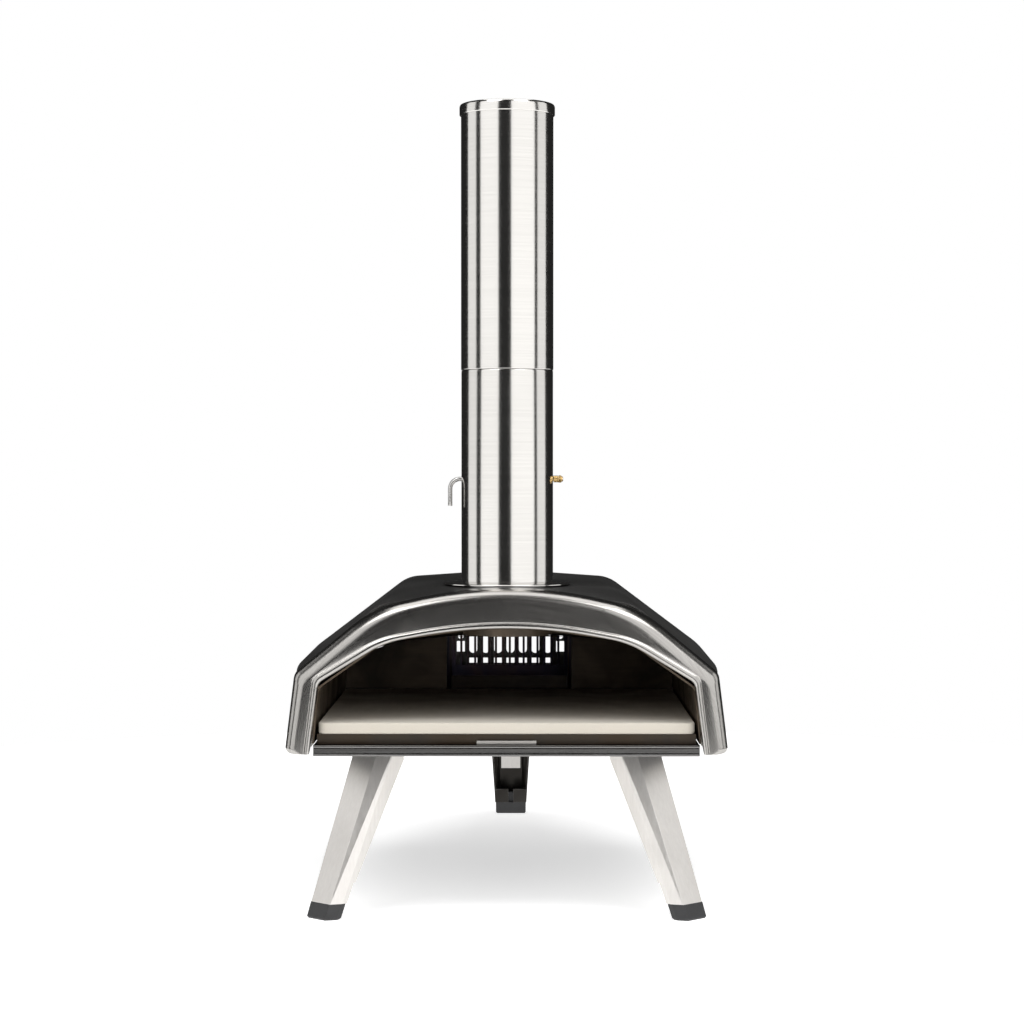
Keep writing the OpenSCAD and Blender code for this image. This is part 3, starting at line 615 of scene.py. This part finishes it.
def trim_outer(inset):
    return arch((198, 150), (189.2, 221.6), (118, 280), 306, FRAME_RADII, inset)


def mouth(inset):
    return arch((175.5, 150), (167.2, 213.4), (108.6, 249), 269.3, MOUTH_RADII, inset)


print("points in an arch:", len(trim_outer(0)))

# %% [markdown]
# ## Formed sheets by drawing and bridging
# A sheet that changes shape along its length is drawn as a row of outlines and bridged. Each outline
# starts as one point, extruded from corner to corner, just as one would click it out by hand. The
# alternative, a grid bent with modifiers, never quite lands on the CAD's sizes.

# %% Draw and bridge
def draw_chain(points):
    """In edit mode: a point, extruded along the outline."""
    bpy.ops.mesh.select_mode(type="VERT")
    bpy.ops.mesh.select_all(action="DESELECT")
    bpy.ops.mesh.primitive_plane_add(size=MM, location=points[0])
    bpy.ops.mesh.merge(type="CENTER")
    for here, there in zip(points, points[1:]):
        bpy.ops.mesh.extrude_region_move(TRANSFORM_OT_translate={"value": there - here})


def open_sheet(name, rows):
    """A new piece in edit mode with one drawn outline per row and the rows bridged in order."""
    piece = empty_piece(name)
    for row in rows:
        draw_chain(row)
    count = len(rows[0])
    for i in range(len(rows) - 1):
        bridge_rows(piece, count, i, i + 1)
    return piece


def bridge_rows(piece, count, i, j):
    """Bridges two drawn outlines, known by the order in which they were drawn."""
    near, far = range(i * count, (i + 1) * count), range(j * count, (j + 1) * count)
    pick(piece, "EDGE", lambda e: any(all(v.index in row for v in e.verts) for row in (near, far)))
    bpy.ops.mesh.bridge_edge_loops()


def empty_piece(name):
    """A new piece in edit mode with nothing in it yet."""
    piece = start(name, bpy.ops.mesh.primitive_plane_add, size=MM)
    bpy.ops.mesh.delete(type="VERT")
    return piece


# %% [markdown]
# ## Mouth frame
# The frame is one pressed sheet: a rolled lip round the mouth, a flat face, and a broad roll over on to
# a flange that covers the front of the shell. Its face widens towards the crown. The rows below go round
# that section: back of the lip, the lip's bead, the crease, the face, the roll, the flange.

# %% Frame section
FRAME_FRONT, FRAME_BACK, LINER_FRONT = -350.0, -322.0, -335.0
LIP_RADIUS, LIP_MIDDLE = 2.3, FRAME_FRONT + 1.3
ROLL_IN, ROLL_BACK = 9.5, 13.0

LIP_STEPS, ROLL_STEPS = 6, 8

frame_rows = [at_depth(mouth(-3), LINER_FRONT), at_depth(mouth(0), LINER_FRONT)]
for step in range(LIP_STEPS):
    turn = math.radians(180 / LIP_STEPS * step)
    frame_rows.append(at_depth(mouth(LIP_RADIUS * (math.cos(turn) - 1)),
                               LIP_MIDDLE - LIP_RADIUS * math.sin(turn)))
frame_rows.append(at_depth(mouth(-4.7), FRAME_FRONT + 0.5))
frame_rows.append(at_depth(mouth(-5.4), FRAME_FRONT))
for step in range(ROLL_STEPS):
    turn = math.radians(90 * step / (ROLL_STEPS - 1))
    frame_rows.append(at_depth(trim_outer(ROLL_IN * (1 - math.sin(turn))),
                               FRAME_FRONT + ROLL_BACK * (1 - math.cos(turn))))
frame_rows.append(at_depth(trim_outer(0), FRAME_BACK - 0.5))
frame_rows.append(at_depth(trim_outer(0.4), FRAME_BACK))
frame_rows.append(at_depth(trim_outer(3.0), FRAME_BACK))

mouth_frame = open_sheet("mouth_frame", frame_rows)
row_points = len(frame_rows[0])
bridge_rows(mouth_frame, row_points, len(frame_rows) - 1, 0)
print("frame rows:", len(frame_rows), "of", row_points, "points")

# %% [markdown]
# The section is hollow, and each foot of the frame is still an open ring. The ring's edges have a face on
# one side only, which is how they are found and filled. A small bevel then breaks the sharp corners, and
# weighted normals keep the broad face flat to the eye right up to its rolls.

# %% Close the frame's feet
foot_edge = 151.0 * MM
for side in (-1, 1):
    pick(mouth_frame, "EDGE", lambda e: one_sided(e)
         and all(v.co.x * side > 0 and v.co.z < foot_edge for v in e.verts))
    bpy.ops.mesh.edge_face_add()
tidy_normals()
clear_selection()
modifier(mouth_frame, "BEVEL", width=0.9 * MM, segments=2, limit_method="ANGLE", angle_limit=math.radians(50))
close(mouth_frame, 35)
modifier(mouth_frame, "WEIGHTED_NORMAL", keep_sharp=True, weight=60)
mouth_frame.data.materials.append(trim_steel)
fit(mouth_frame, "oven", "trim_steel", "front_trim")

# %% [markdown]
# ## Outer shell
# One black sheet wraps the body from the mouth frame to the rear panel. It rises a little behind the
# frame, runs level, and then drops and narrows towards the burner. Five outlines are enough, because
# the sheet is straight between them; a flat round seat is pressed into its roof for the flue.

# %% Draw the shell
SHELL_RADII = (0, 15, 35, 380)
SHELL_STATIONS = [
    (-321.7, (195.2, 150), (187.6, 221.5), (115, 281.5), 303.5),
    (-278, (196.5, 150), (192.5, 224), (104, 291.5), 298.5),
    (-88, (196, 150), (193.5, 225), (99.3, 296.6), 303.5),
    (-28, (196, 150), (193.5, 225), (98, 291), 298),
    (92, (160, 150), (156, 205), (85, 252), 262),
]
SHEET = 1.5
shell = open_sheet("shell", [at_depth(arch(*s[1:], SHELL_RADII), s[0]) for s in SHELL_STATIONS])
tidy_normals()
clear_selection()
modifier(shell, "SOLIDIFY", thickness=SHEET * MM, offset=-1, use_even_offset=True)
print("shell faces:", len(shell.data.polygons))

# %% [markdown]
# The flue's collar needs a flat place to stand, so a round seat is cut level into the crown, and the hole
# for the flue goes through it. A plain round cutter and a boolean make each, as a punch would.

# %% Press the flue's seat
FLUE_Y = -243.0
SEAT_Z, SEAT_RADIUS, NECK_RADIUS = 296.5, 60.5, 41.2
CUT_LOW, CUT_HIGH = 200, 340


def cut(piece, cutter):
    """Cuts one piece with another and removes the cutter."""
    clear_selection()
    modifier(piece, "BOOLEAN", operation="DIFFERENCE", object=cutter, solver="EXACT")
    bpy.data.objects.remove(cutter)


def drum(name, radius, low, high):
    """A plain round cutter on the flue's axis."""
    made = start(name, bpy.ops.mesh.primitive_cylinder_add, vertices=96, radius=radius * MM,
                 depth=(high - low) * MM, location=Vector((0, FLUE_Y, (high + low) / 2)) * MM)
    return close(made)


cut(shell, drum("seat_cutter", SEAT_RADIUS, SEAT_Z, CUT_HIGH))
cut(shell, drum("flue_cutter", NECK_RADIUS + 0.6, CUT_LOW, CUT_HIGH))
close(shell, 35)
shell.data.materials.append(black_shell)
fit(shell, "oven", "black_shell", "shell_roof", "shell_left", "shell_right")

# %% [markdown]
# ## Turned pieces
# Tubes, rings and knobs are all turned, so each is a profile drawn once on one side and spun round its
# axis. The wall is drawn with both its faces, so nothing needs a thickness afterwards.

# %% Spin a profile
def turned(name, profile, centre=(0, FLUE_Y), sides=128, smooth=30, closed=True):
    """Spins an outline of radius and height round a vertical axis."""
    loop = [*profile, profile[0]] if closed else profile
    piece = empty_piece(name)
    draw_chain([Vector((centre[0] + r, centre[1], z)) * MM for r, z in loop])
    bpy.ops.mesh.select_all(action="SELECT")
    bpy.ops.mesh.spin(steps=sides, angle=2 * math.pi, center=Vector((*centre, 0)) * MM, axis=(0, 0, 1))
    tidy_normals()
    return close(piece, smooth)


# %% [markdown]
# The flue comes in two lengths. The lower one is drawn in at its top to enter the upper one, which rests
# on the shoulder this leaves. The upper one ends in a rolled ring that keeps the thin rim round and safe
# to hold. The lower one stands over the neck of a pressed collar.

# %% Flue
TUBE, WALL, UPPER = 42.5, 1.0, 42.8
JOINT_Z, COLLAR_TOP, TOP_Z = 495.0, 299.5, 740.0
SPIGOT, SPIGOT_TOP = UPPER - WALL - 0.3, JOINT_Z + 22
RING, RING_LOW = UPPER + 1.4, TOP_Z - 10
COLLAR = 59.0

flue_lower = turned("flue_lower", [
    (TUBE - WALL, COLLAR_TOP), (TUBE, COLLAR_TOP), (TUBE, JOINT_Z - 1.6), (TUBE - 0.3, JOINT_Z - 0.7),
    (SPIGOT, JOINT_Z - 0.1), (SPIGOT, SPIGOT_TOP - 0.5), (SPIGOT - 0.4, SPIGOT_TOP),
    (SPIGOT - WALL, SPIGOT_TOP), (SPIGOT - WALL, JOINT_Z - 4), (TUBE - WALL, JOINT_Z - 6)])
flue_upper = turned("flue_upper", [
    (UPPER - WALL, JOINT_Z + 0.1), (UPPER - 0.2, JOINT_Z + 0.1), (UPPER, JOINT_Z + 0.4),
    (UPPER, TOP_Z - 0.9), (UPPER - WALL, TOP_Z - 0.9)])
flue_ring = turned("flue_ring", [
    (UPPER - WALL, RING_LOW), (RING - 0.5, RING_LOW), (RING, RING_LOW + 0.6), (RING, TOP_Z - 2.4),
    (UPPER + 1.1, TOP_Z - 1.2), (UPPER + 0.4, TOP_Z - 0.3), (UPPER - 0.4, TOP_Z), (UPPER - 1.2, TOP_Z - 0.2),
    (UPPER - 1.6, TOP_Z - 0.8), (UPPER - 1.6, RING_LOW)])
flue_collar = turned("flue_collar", [
    (40.0, SEAT_Z), (COLLAR - 0.8, SEAT_Z), (COLLAR, SEAT_Z + 0.4), (COLLAR, SEAT_Z + 1.1),
    (COLLAR - 0.7, SEAT_Z + 1.7), (50, SEAT_Z + 2.5), (43.6, SEAT_Z + 2.9), (NECK_RADIUS, COLLAR_TOP),
    (NECK_RADIUS, COLLAR_TOP + 27.6), (40.9, COLLAR_TOP + 28), (40.0, COLLAR_TOP + 28)])

FLUE_PIECES = (
    (flue_lower, "lower_chimney", "chimney_lower"), (flue_upper, "upper_chimney", "chimney_upper"),
    (flue_ring, "upper_chimney", "chimney_cap"), (flue_collar, "oven", "chimney_collar"),
)
for piece, body, node in FLUE_PIECES:
    piece.data.materials.append(tube_steel)
    fit(piece, body, "tube_steel", node)

# %% [markdown]
# ## Damper
# A steel rod runs through the tube. On the left it is bent down into a hook to turn it by, on the right
# a conical brass spring and a nut keep it snug. The rod is one round face, extruded, spun through the
# bend and extruded again; the spring is a wire section wound by a Screw modifier.

# %% Rod and hook
ROD_RADIUS, DAMPER_Z = 2.0, 394.0
ROD_RIGHT, HOOK_X, HOOK_BEND, HOOK_DROP = 52.0, -53.0, 9.0, 25.0
BEND_X = HOOK_X + HOOK_BEND
ACROSS = (0, math.pi / 2, 0)

rod = start("damper_hook_rod", bpy.ops.mesh.primitive_circle_add, vertices=20, radius=ROD_RADIUS * MM,
            fill_type="NGON", location=Vector((ROD_RIGHT, FLUE_Y, DAMPER_Z)) * MM, rotation=ACROSS)
bpy.ops.mesh.select_all(action="SELECT")
bpy.ops.mesh.extrude_region_move(TRANSFORM_OT_translate={"value": ((BEND_X - ROD_RIGHT) * MM, 0, 0)})
bpy.ops.mesh.spin(steps=10, angle=math.pi / 2, center=Vector((BEND_X, FLUE_Y, DAMPER_Z - HOOK_BEND)) * MM,
                  axis=(0, 1, 0))
bpy.ops.mesh.extrude_region_move(TRANSFORM_OT_translate={"value": (0, 0, -(HOOK_DROP - HOOK_BEND) * MM)})
tidy_normals()
clear_selection()
modifier(rod, "BEVEL", width=0.4 * MM, segments=2, limit_method="ANGLE", angle_limit=math.radians(60))
close(rod, 40)
rod.data.materials.append(plated_steel)
fit(rod, "damper", "fastener", "damper_rod")

# %% [markdown]
# The spring is a small circle of wire wound round the rod. A Screw modifier turns round the object's own
# origin, so the wire is drawn at the origin first and the finished coil is carried to the rod. The nut is
# a six-sided cylinder whose outer face is inset and pulled out into a short hub.

# %% Spring and nut
WIRE, COILS, COIL_RADIUS, COIL_PITCH = 0.55, 5, 3.1, 0.86
spring = start("damper_coil", bpy.ops.mesh.primitive_circle_add, vertices=10, radius=WIRE * MM,
               location=Vector((0, COIL_RADIUS, 0)) * MM, rotation=ACROSS)
bpy.ops.mesh.select_all(action="SELECT")
bpy.ops.transform.rotate(value=math.pi / 2, orient_axis="Z", center_override=(0, COIL_RADIUS * MM, 0))
close(spring)
modifier(spring, "SCREW", axis="X", angle=2 * math.pi, screw_offset=COIL_PITCH * MM, iterations=COILS,
         steps=24, render_steps=24, use_merge_vertices=True)
spring.location = Vector((TUBE + 0.5, FLUE_Y, DAMPER_Z)) * MM
close(spring, 60)
nut = start("damper_hex_nut", bpy.ops.mesh.primitive_cylinder_add, vertices=6, radius=3.9 * MM,
            depth=2.6 * MM, location=Vector((TUBE + 6.4, FLUE_Y, DAMPER_Z)) * MM, rotation=ACROSS)
pick(nut, "FACE", lambda f: f.calc_center_median().z > 1.2 * MM)
bpy.ops.mesh.inset(thickness=0.9 * MM)
bpy.ops.mesh.extrude_region_move(TRANSFORM_OT_translate={"value": (1.2 * MM, 0, 0)})
close(nut)
modifier(nut, "BEVEL", width=0.35 * MM, segments=2, limit_method="ANGLE")
close(nut, 40)
for piece, node in ((spring, "damper_spring"), (nut, "damper_nut")):
    piece.data.materials.append(brass)
    fit(piece, "damper", "brass", node)

# %% [markdown]
# ## Baking stone
# A square slab of pressed cordierite, 336 mm by 10 mm. Its four corners are rounded by a wide bevel of
# the upright edges, and then every edge gets the small round that a press leaves. Its size comes from
# the box of the CAD node, so it can't drift from it.

# %% Stone
def block(name, low, high):
    """A cube stretched from its lowest to its highest corner, in metres."""
    return close(start(name, bpy.ops.mesh.primitive_cube_add, size=1, location=(low + high) / 2,
                       scale=high - low))


stone = block("stone", *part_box("baking_stone"))
bpy.ops.object.mode_set(mode="EDIT")
pick(stone, "EDGE", upright)
bpy.ops.mesh.bevel(offset=6 * MM, segments=6)
clear_selection()
modifier(stone, "BEVEL", width=1.1 * MM, segments=4, limit_method="ANGLE", angle_limit=math.radians(50))
close(stone, 50)
stone.data.materials.append(stone_finish)
fit(stone, "stone", "stone", "baking_stone")

# %% [markdown]
# ## Base pan and sill
# The pan under the body is a plain folded tray, but its front edge is what one sees: a sill with a
# rolled hem along its top and bottom. The sill's section is drawn once and extruded across, so the hems
# are truly round and catch the light as two thin lines.

# %% Sill
SILL_HALF, SILL_FRONT, SILL_LOW, SILL_HIGH = 171.8, -346.0, 148.0, 158.0
HEM, HEM_END = 1.3, 3.1


def half_round(y, z, radius, first, last, steps=8):
    """Part of a circle in Y and Z, between two angles in degrees."""
    return [(y + radius * math.cos(t), z + radius * math.sin(t))
            for t in (math.radians(first + (last - first) * i / steps) for i in range(steps + 1))]


sill_section = [(-338.0, SILL_HIGH), *half_round(SILL_FRONT, SILL_HIGH - HEM, HEM, 90, 300),
                (SILL_FRONT - 0.1, SILL_HIGH - HEM_END), (SILL_FRONT - 0.1, SILL_LOW + HEM_END),
                *half_round(SILL_FRONT, SILL_LOW + HEM, HEM, 60, 270), (-344.5, SILL_LOW)]
sill = empty_piece("sill")
draw_chain([Vector((-SILL_HALF, y, z)) * MM for y, z in sill_section])
bpy.ops.mesh.select_all(action="SELECT")
bpy.ops.mesh.extrude_region_move(TRANSFORM_OT_translate={"value": (2 * SILL_HALF * MM, 0, 0)})
for side in (-1, 1):
    pick(sill, "EDGE", lambda e: all(abs(v.co.x - side * SILL_HALF * MM) < CLOSE for v in e.verts))
    bpy.ops.mesh.edge_face_add()
tidy_normals()
clear_selection()
close(sill, 40)
sill.data.materials.append(sill_steel)
fit(sill, "oven", "tray_paint", "base_tray")

# %% [markdown]
# The pan's outline is drawn on its top face: as wide as the mouth in front, narrow under the burner. It is
# extruded down, its rear corners are rounded, its underside is opened, and the rest gets its thickness.

# %% Pan
PAN_OUTLINE = [(171.8, -345), (171.8, 34), (96, 117), (96, 317)]
pan = empty_piece("base_pan")
outline = [*PAN_OUTLINE, *[(-x, y) for x, y in reversed(PAN_OUTLINE)]]
draw_chain([Vector((x, y, SILL_HIGH)) * MM for x, y in outline])
bpy.ops.mesh.select_all(action="SELECT")
bpy.ops.mesh.edge_face_add()
bpy.ops.mesh.extrude_region_move(TRANSFORM_OT_translate={"value": (0, 0, -(SILL_HIGH - SILL_LOW) * MM)})
tidy_normals()
pick(pan, "EDGE", lambda e: upright(e) and e.verts[0].co.y > 0)
bpy.ops.mesh.bevel(offset=5 * MM, segments=4)
pick(pan, "FACE", lambda f: f.normal.z < -0.9)
bpy.ops.mesh.delete(type="FACE")
clear_selection()
modifier(pan, "SOLIDIFY", thickness=SHEET * MM, offset=-1)
modifier(pan, "BEVEL", width=0.7 * MM, segments=2, limit_method="ANGLE", angle_limit=math.radians(50))
close(pan, 40)
pan.data.materials.append(tray_paint)
fit(pan, "oven", "tray_paint", "base_tray")

# %% [markdown]
# ## Burner housing and hopper
# Behind the shell sits a low housing, folded from sheet with soft bends. Its rear face is drawn first
# and pulled forwards as a rim, which leaves it open below and in front; the bends are rounded while it is
# still thin, and the openings for the drawer and the chute are cut once it has its thickness.

# %% Housing
COVER_FRONT, COVER_BACK, COVER_LOW, COVER_TOP = 92.5, 259.0, 158.3, 240.0
COVER_FOOT, COVER_SHOULDER = 102.4, 86.0
cover = empty_piece("burner_housing")
draw_chain([Vector((x, COVER_BACK, z)) * MM for x, z in
            ((-COVER_FOOT, COVER_LOW), (-COVER_SHOULDER, COVER_TOP), (COVER_SHOULDER, COVER_TOP),
             (COVER_FOOT, COVER_LOW))])
bpy.ops.mesh.select_all(action="SELECT")
bpy.ops.mesh.edge_face_add()
bpy.ops.mesh.inset(thickness=12 * MM)
pick(cover, "EDGE", one_sided)
bpy.ops.mesh.extrude_region_move(TRANSFORM_OT_translate={"value": (0, (COVER_FRONT - COVER_BACK) * MM, 0)})
pick(cover, "FACE", lambda f: f.calc_center_median().z < (COVER_LOW + 0.2) * MM)
bpy.ops.mesh.delete(type="FACE")
tidy_normals()
pick(cover, "EDGE", lambda e: len(e.link_faces) == 2
     and e.link_faces[0].normal.angle(e.link_faces[1].normal) > math.radians(40))
bpy.ops.mesh.bevel(offset=4 * MM, segments=5)
clear_selection()
modifier(cover, "SOLIDIFY", thickness=SHEET * MM, offset=-1, use_even_offset=True)


DRAWER_HALF, DRAWER_TOP = 67, 232.5
THROAT_HALF, THROAT_FRONT, THROAT_BACK = 38, 166, 242
cut(cover, block("drawer_opening", Vector((-DRAWER_HALF, COVER_BACK - 9, 100)) * MM,
                 Vector((DRAWER_HALF, COVER_BACK + 11, DRAWER_TOP)) * MM))
cut(cover, block("throat", Vector((-THROAT_HALF, THROAT_FRONT, COVER_TOP - 10)) * MM,
                 Vector((THROAT_HALF, THROAT_BACK, COVER_TOP + 20)) * MM))
close(cover, 40)
cover.data.materials.append(black_shell)
fit(cover, "oven", "black_shell", "rear_cover")

# %% [markdown]
# The hopper is a square tube, open at both ends, on a flange that is screwed to the housing. A box gives
# the tube: its corners are rounded, its ends deleted, and the rim at the foot is extruded in place and
# then scaled outwards into the flange. The box keeps its own origin while it is open, so its foot is
# where its local height is below zero.

# %% Hopper
HOPPER_HALF, HOPPER_FRONT, HOPPER_BACK, HOPPER_TOP = 44.0, 159.0, 249.0, 400.0
FLANGE_X, FLANGE_Y = 9.0, 6.0
hopper_y, hopper_deep = (HOPPER_FRONT + HOPPER_BACK) / 2, (HOPPER_BACK - HOPPER_FRONT) / 2
hopper = start("pellet_hopper", bpy.ops.mesh.primitive_cube_add, size=1,
               location=Vector((0, hopper_y, (COVER_TOP + HOPPER_TOP) / 2)) * MM,
               scale=Vector((2 * HOPPER_HALF, 2 * hopper_deep, HOPPER_TOP - COVER_TOP)) * MM)
pick(hopper, "EDGE", upright)
bpy.ops.mesh.bevel(offset=5 * MM, segments=5)
pick(hopper, "FACE", lambda f: abs(f.normal.z) > 0.9)
bpy.ops.mesh.delete(type="FACE")
pick(hopper, "EDGE", lambda e: one_sided(e) and all(v.co.z < 0 for v in e.verts))
bpy.ops.mesh.extrude_region_move()
wider, deeper = 1 + FLANGE_X / HOPPER_HALF, 1 + FLANGE_Y / hopper_deep
bpy.ops.transform.resize(value=(wider, deeper, 1),
                         center_override=Vector((0, hopper_y, COVER_TOP)) * MM)
tidy_normals()
clear_selection()
close(hopper)
modifier(hopper, "SOLIDIFY", thickness=SHEET * MM, offset=-1, use_even_offset=True)
modifier(hopper, "BEVEL", width=0.5 * MM, segments=2, limit_method="ANGLE", angle_limit=math.radians(60))
close(hopper, 40)
hopper.data.materials.append(black_shell)
fit(hopper, "oven", "black_shell", "hopper_body")

# %% [markdown]
# The cap is a shallow tray turned over: a box over the CAD lid with its underside deleted and its top
# pressed in by less than half a millimetre. Its knob is turned from one profile, like a drawer knob.

# %% Hopper lid and knob
lid = block("hopper_cap", *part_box("hopper_lid"))
bpy.ops.object.mode_set(mode="EDIT")
pick(lid, "FACE", lambda f: f.normal.z < -0.9)
bpy.ops.mesh.delete(type="FACE")
pick(lid, "EDGE", lambda e: len(e.link_faces) == 2)
bpy.ops.mesh.bevel(offset=4 * MM, segments=5)
pick(lid, "FACE", lambda f: f.normal.z > 0.99)
bpy.ops.mesh.inset(thickness=9 * MM)
bpy.ops.mesh.inset(thickness=3 * MM, depth=-0.4 * MM)
clear_selection()
modifier(lid, "SOLIDIFY", thickness=SHEET * MM, offset=-1)
close(lid, 40)
lid.data.materials.append(hatch_steel)
fit(lid, "hopper_cap", "trim_steel", "hopper_lid")

KNOB_PROFILE = [(0, 401.5), (8.6, 401.5), (8.9, 402.2), (7.2, 406.5), (7.0, 409.0), (9.5, 412.0),
                (14.2, 414.2), (15.8, 415.8), (16, 418.0), (15.6, 421.5), (13.8, 424.2),
                (10.5, 425.8), (5.0, 426.4), (0, 426.5)]
knob = turned("hopper_knob", KNOB_PROFILE, centre=(0, hopper_y), sides=64, smooth=50, closed=False)
knob.data.materials.append(grip_nylon)
fit(knob, "hopper_cap", "grip", "lid_knob")

# %% [markdown]
# ## Pieces that stay as the CAD made them
# Brackets, pins, straps, slotted plates and the folded legs already have their true shape, so they keep
# their CAD mesh and only take a real finish. Which finish a node takes follows from what it is made of;
# the catch and flame guard, changed by hands and fire, and the rear leg, with painted shade, have their own.

# %% Finish the carried-over nodes
FINISHES = {
    "black_shell": black_shell, "trim_steel": hatch_steel, "tube_steel": tube_steel, "leg_steel": leg_steel,
    "tray_paint": tray_paint, "liner_steel": liner_steel, "burner_steel": burner_steel,
    "tray_dark": tray_dark, "stone": stone_finish, "fibre": fibre, "grip": grip_nylon,
    "foot_rubber": foot_rubber, "brass": brass, "fastener": plated_steel,
}
OWN_FINISH = {"door_catch": catch_steel, "flame_guard": guard_steel, "rear_leg": channel_steel}
slots = {part["node"]: part["material_slot"] for part in frame["record"]["subparts"]}
for node, obj in frame["nodes"].items():
    obj.data.materials.clear()
    obj.data.materials.append(OWN_FINISH.get(node, FINISHES[slots[node]]))
print("finished", len(slots), "nodes")

# %% [markdown]
# ## Floor and light
# The floor is a plain pale disc. A real backdrop curves up behind the object and hides the horizon; here
# the disc glows a little, more and more towards its rim, until it is as bright as the white behind it.

# %% Floor
FLOOR_RADIUS, FLOOR_GLOW, EDGE_GLOW = 1.25, 0.46, 1.0
GLOW_FULL = 0.62 * FLOOR_RADIUS


def pale_floor():
    """Pale and matt, with a glow of its own that grows outwards."""
    material, tree, shader, place = new_material("pale floor")
    cloud = add(tree, "TexNoise", {"Vector": place, "Scale": 2.0, "Detail": 3.0})
    tree.links.new(mix(tree, cloud.outputs["Fac"], (0.86, 0.86, 0.86), (0.90, 0.90, 0.90)),
                   shader.inputs["Base Color"])
    shader.inputs["Roughness"].default_value = 0.9
    out = add(tree, "VectorMath", {0: place}, operation="LENGTH").outputs["Value"]
    glow = add(tree, "MapRange", {"Value": out, "From Min": 0.0, "From Max": GLOW_FULL,
                                  "To Min": FLOOR_GLOW, "To Max": EDGE_GLOW}, interpolation_type="SMOOTHSTEP")
    tree.links.new(mix(tree, glow.outputs[0], (0, 0, 0), (1, 1, 1)), shader.inputs["Emission Color"])
    shader.inputs["Emission Strength"].default_value = 1.0
    return material


floor = start("floor", bpy.ops.mesh.primitive_circle_add, vertices=96, radius=FLOOR_RADIUS, fill_type="NGON")
clear_selection()
floor.data.materials.append(pale_floor())

# %% [markdown]
# Two large softboxes stand left and right of the camera with a dark gap between them: polished tube shows
# them as broad white bands with a black stripe down its middle. Two panels at the sides give the greyer
# bands outside those. One panel hangs overhead. Two small ones, high on the left and on the right, put a
# streak on the upper roll of the mouth frame and reach in to the stone.

# %% Softboxes
def softbox(name, azimuth, width, height, radiance, distance, middle, tilt):
    """A panel facing the flue. Azimuth 0 is the camera's side and positive is to the right; a tilt of 90
    degrees stands upright and 0 looks straight down."""
    lamp = bpy.data.lights.new(name, "AREA")
    lamp.shape, lamp.size, lamp.size_y = "RECTANGLE", width, height
    lamp.energy = radiance * math.pi * width * height
    panel = bpy.data.objects.new(name, lamp)
    bpy.context.scene.collection.objects.link(panel)
    turn = math.radians(azimuth)
    panel.location = (distance * math.sin(turn), FLUE_Y * MM - distance * math.cos(turn), middle)
    panel.rotation_euler = (math.radians(tilt), 0, turn)
    panel.visible_camera = False


SOFTBOXES = (
    ("left_key", -45, 1.95, 2.2, 1.42, 2.2, 1.05, 90),
    ("left_side", -98, 1.2, 2.2, 1.15, 2.2, 1.0, 90),
    ("right_key", 41, 2.64, 2.2, 1.50, 2.2, 1.05, 90),
    ("right_side", 96, 1.2, 2.2, 1.15, 2.2, 1.0, 90),
    ("overhead", 0, 2.2, 1.4, 2.2, 0.15, 2.5, 4),
    ("high_left", -36, 1.0, 0.9, 4.6, 1.45, 2.0, 46),
    ("high_right", 40, 1.0, 0.9, 4.6, 1.45, 2.0, 46),
)
for settings in SOFTBOXES:
    softbox(*settings)
print("softboxes:", len(SOFTBOXES))

# %% [markdown]
# The background is white to the camera and nearly black to everything else, so the steel reflects only
# the softboxes and the floor, and its dark bands stay dark.

# %% World
DARK_ROOM, WHITE_BACKDROP = 0.02, 1.0
world = bpy.data.worlds.new("studio")
bpy.context.scene.world = world
world.use_nodes = True
sky = world.node_tree
backdrop = sky.nodes["Background"]
seen = sky.nodes.new("ShaderNodeLightPath").outputs["Is Camera Ray"]
shade = sky.nodes.new("ShaderNodeMapRange")
shade.inputs["To Min"].default_value, shade.inputs["To Max"].default_value = DARK_ROOM, WHITE_BACKDROP
sky.links.new(seen, shade.inputs["Value"])
sky.links.new(shade.outputs[0], backdrop.inputs["Strength"])
backdrop.inputs["Color"].default_value = (1, 1, 1, 1)
bpy.context.scene.view_settings.view_transform = "Standard"
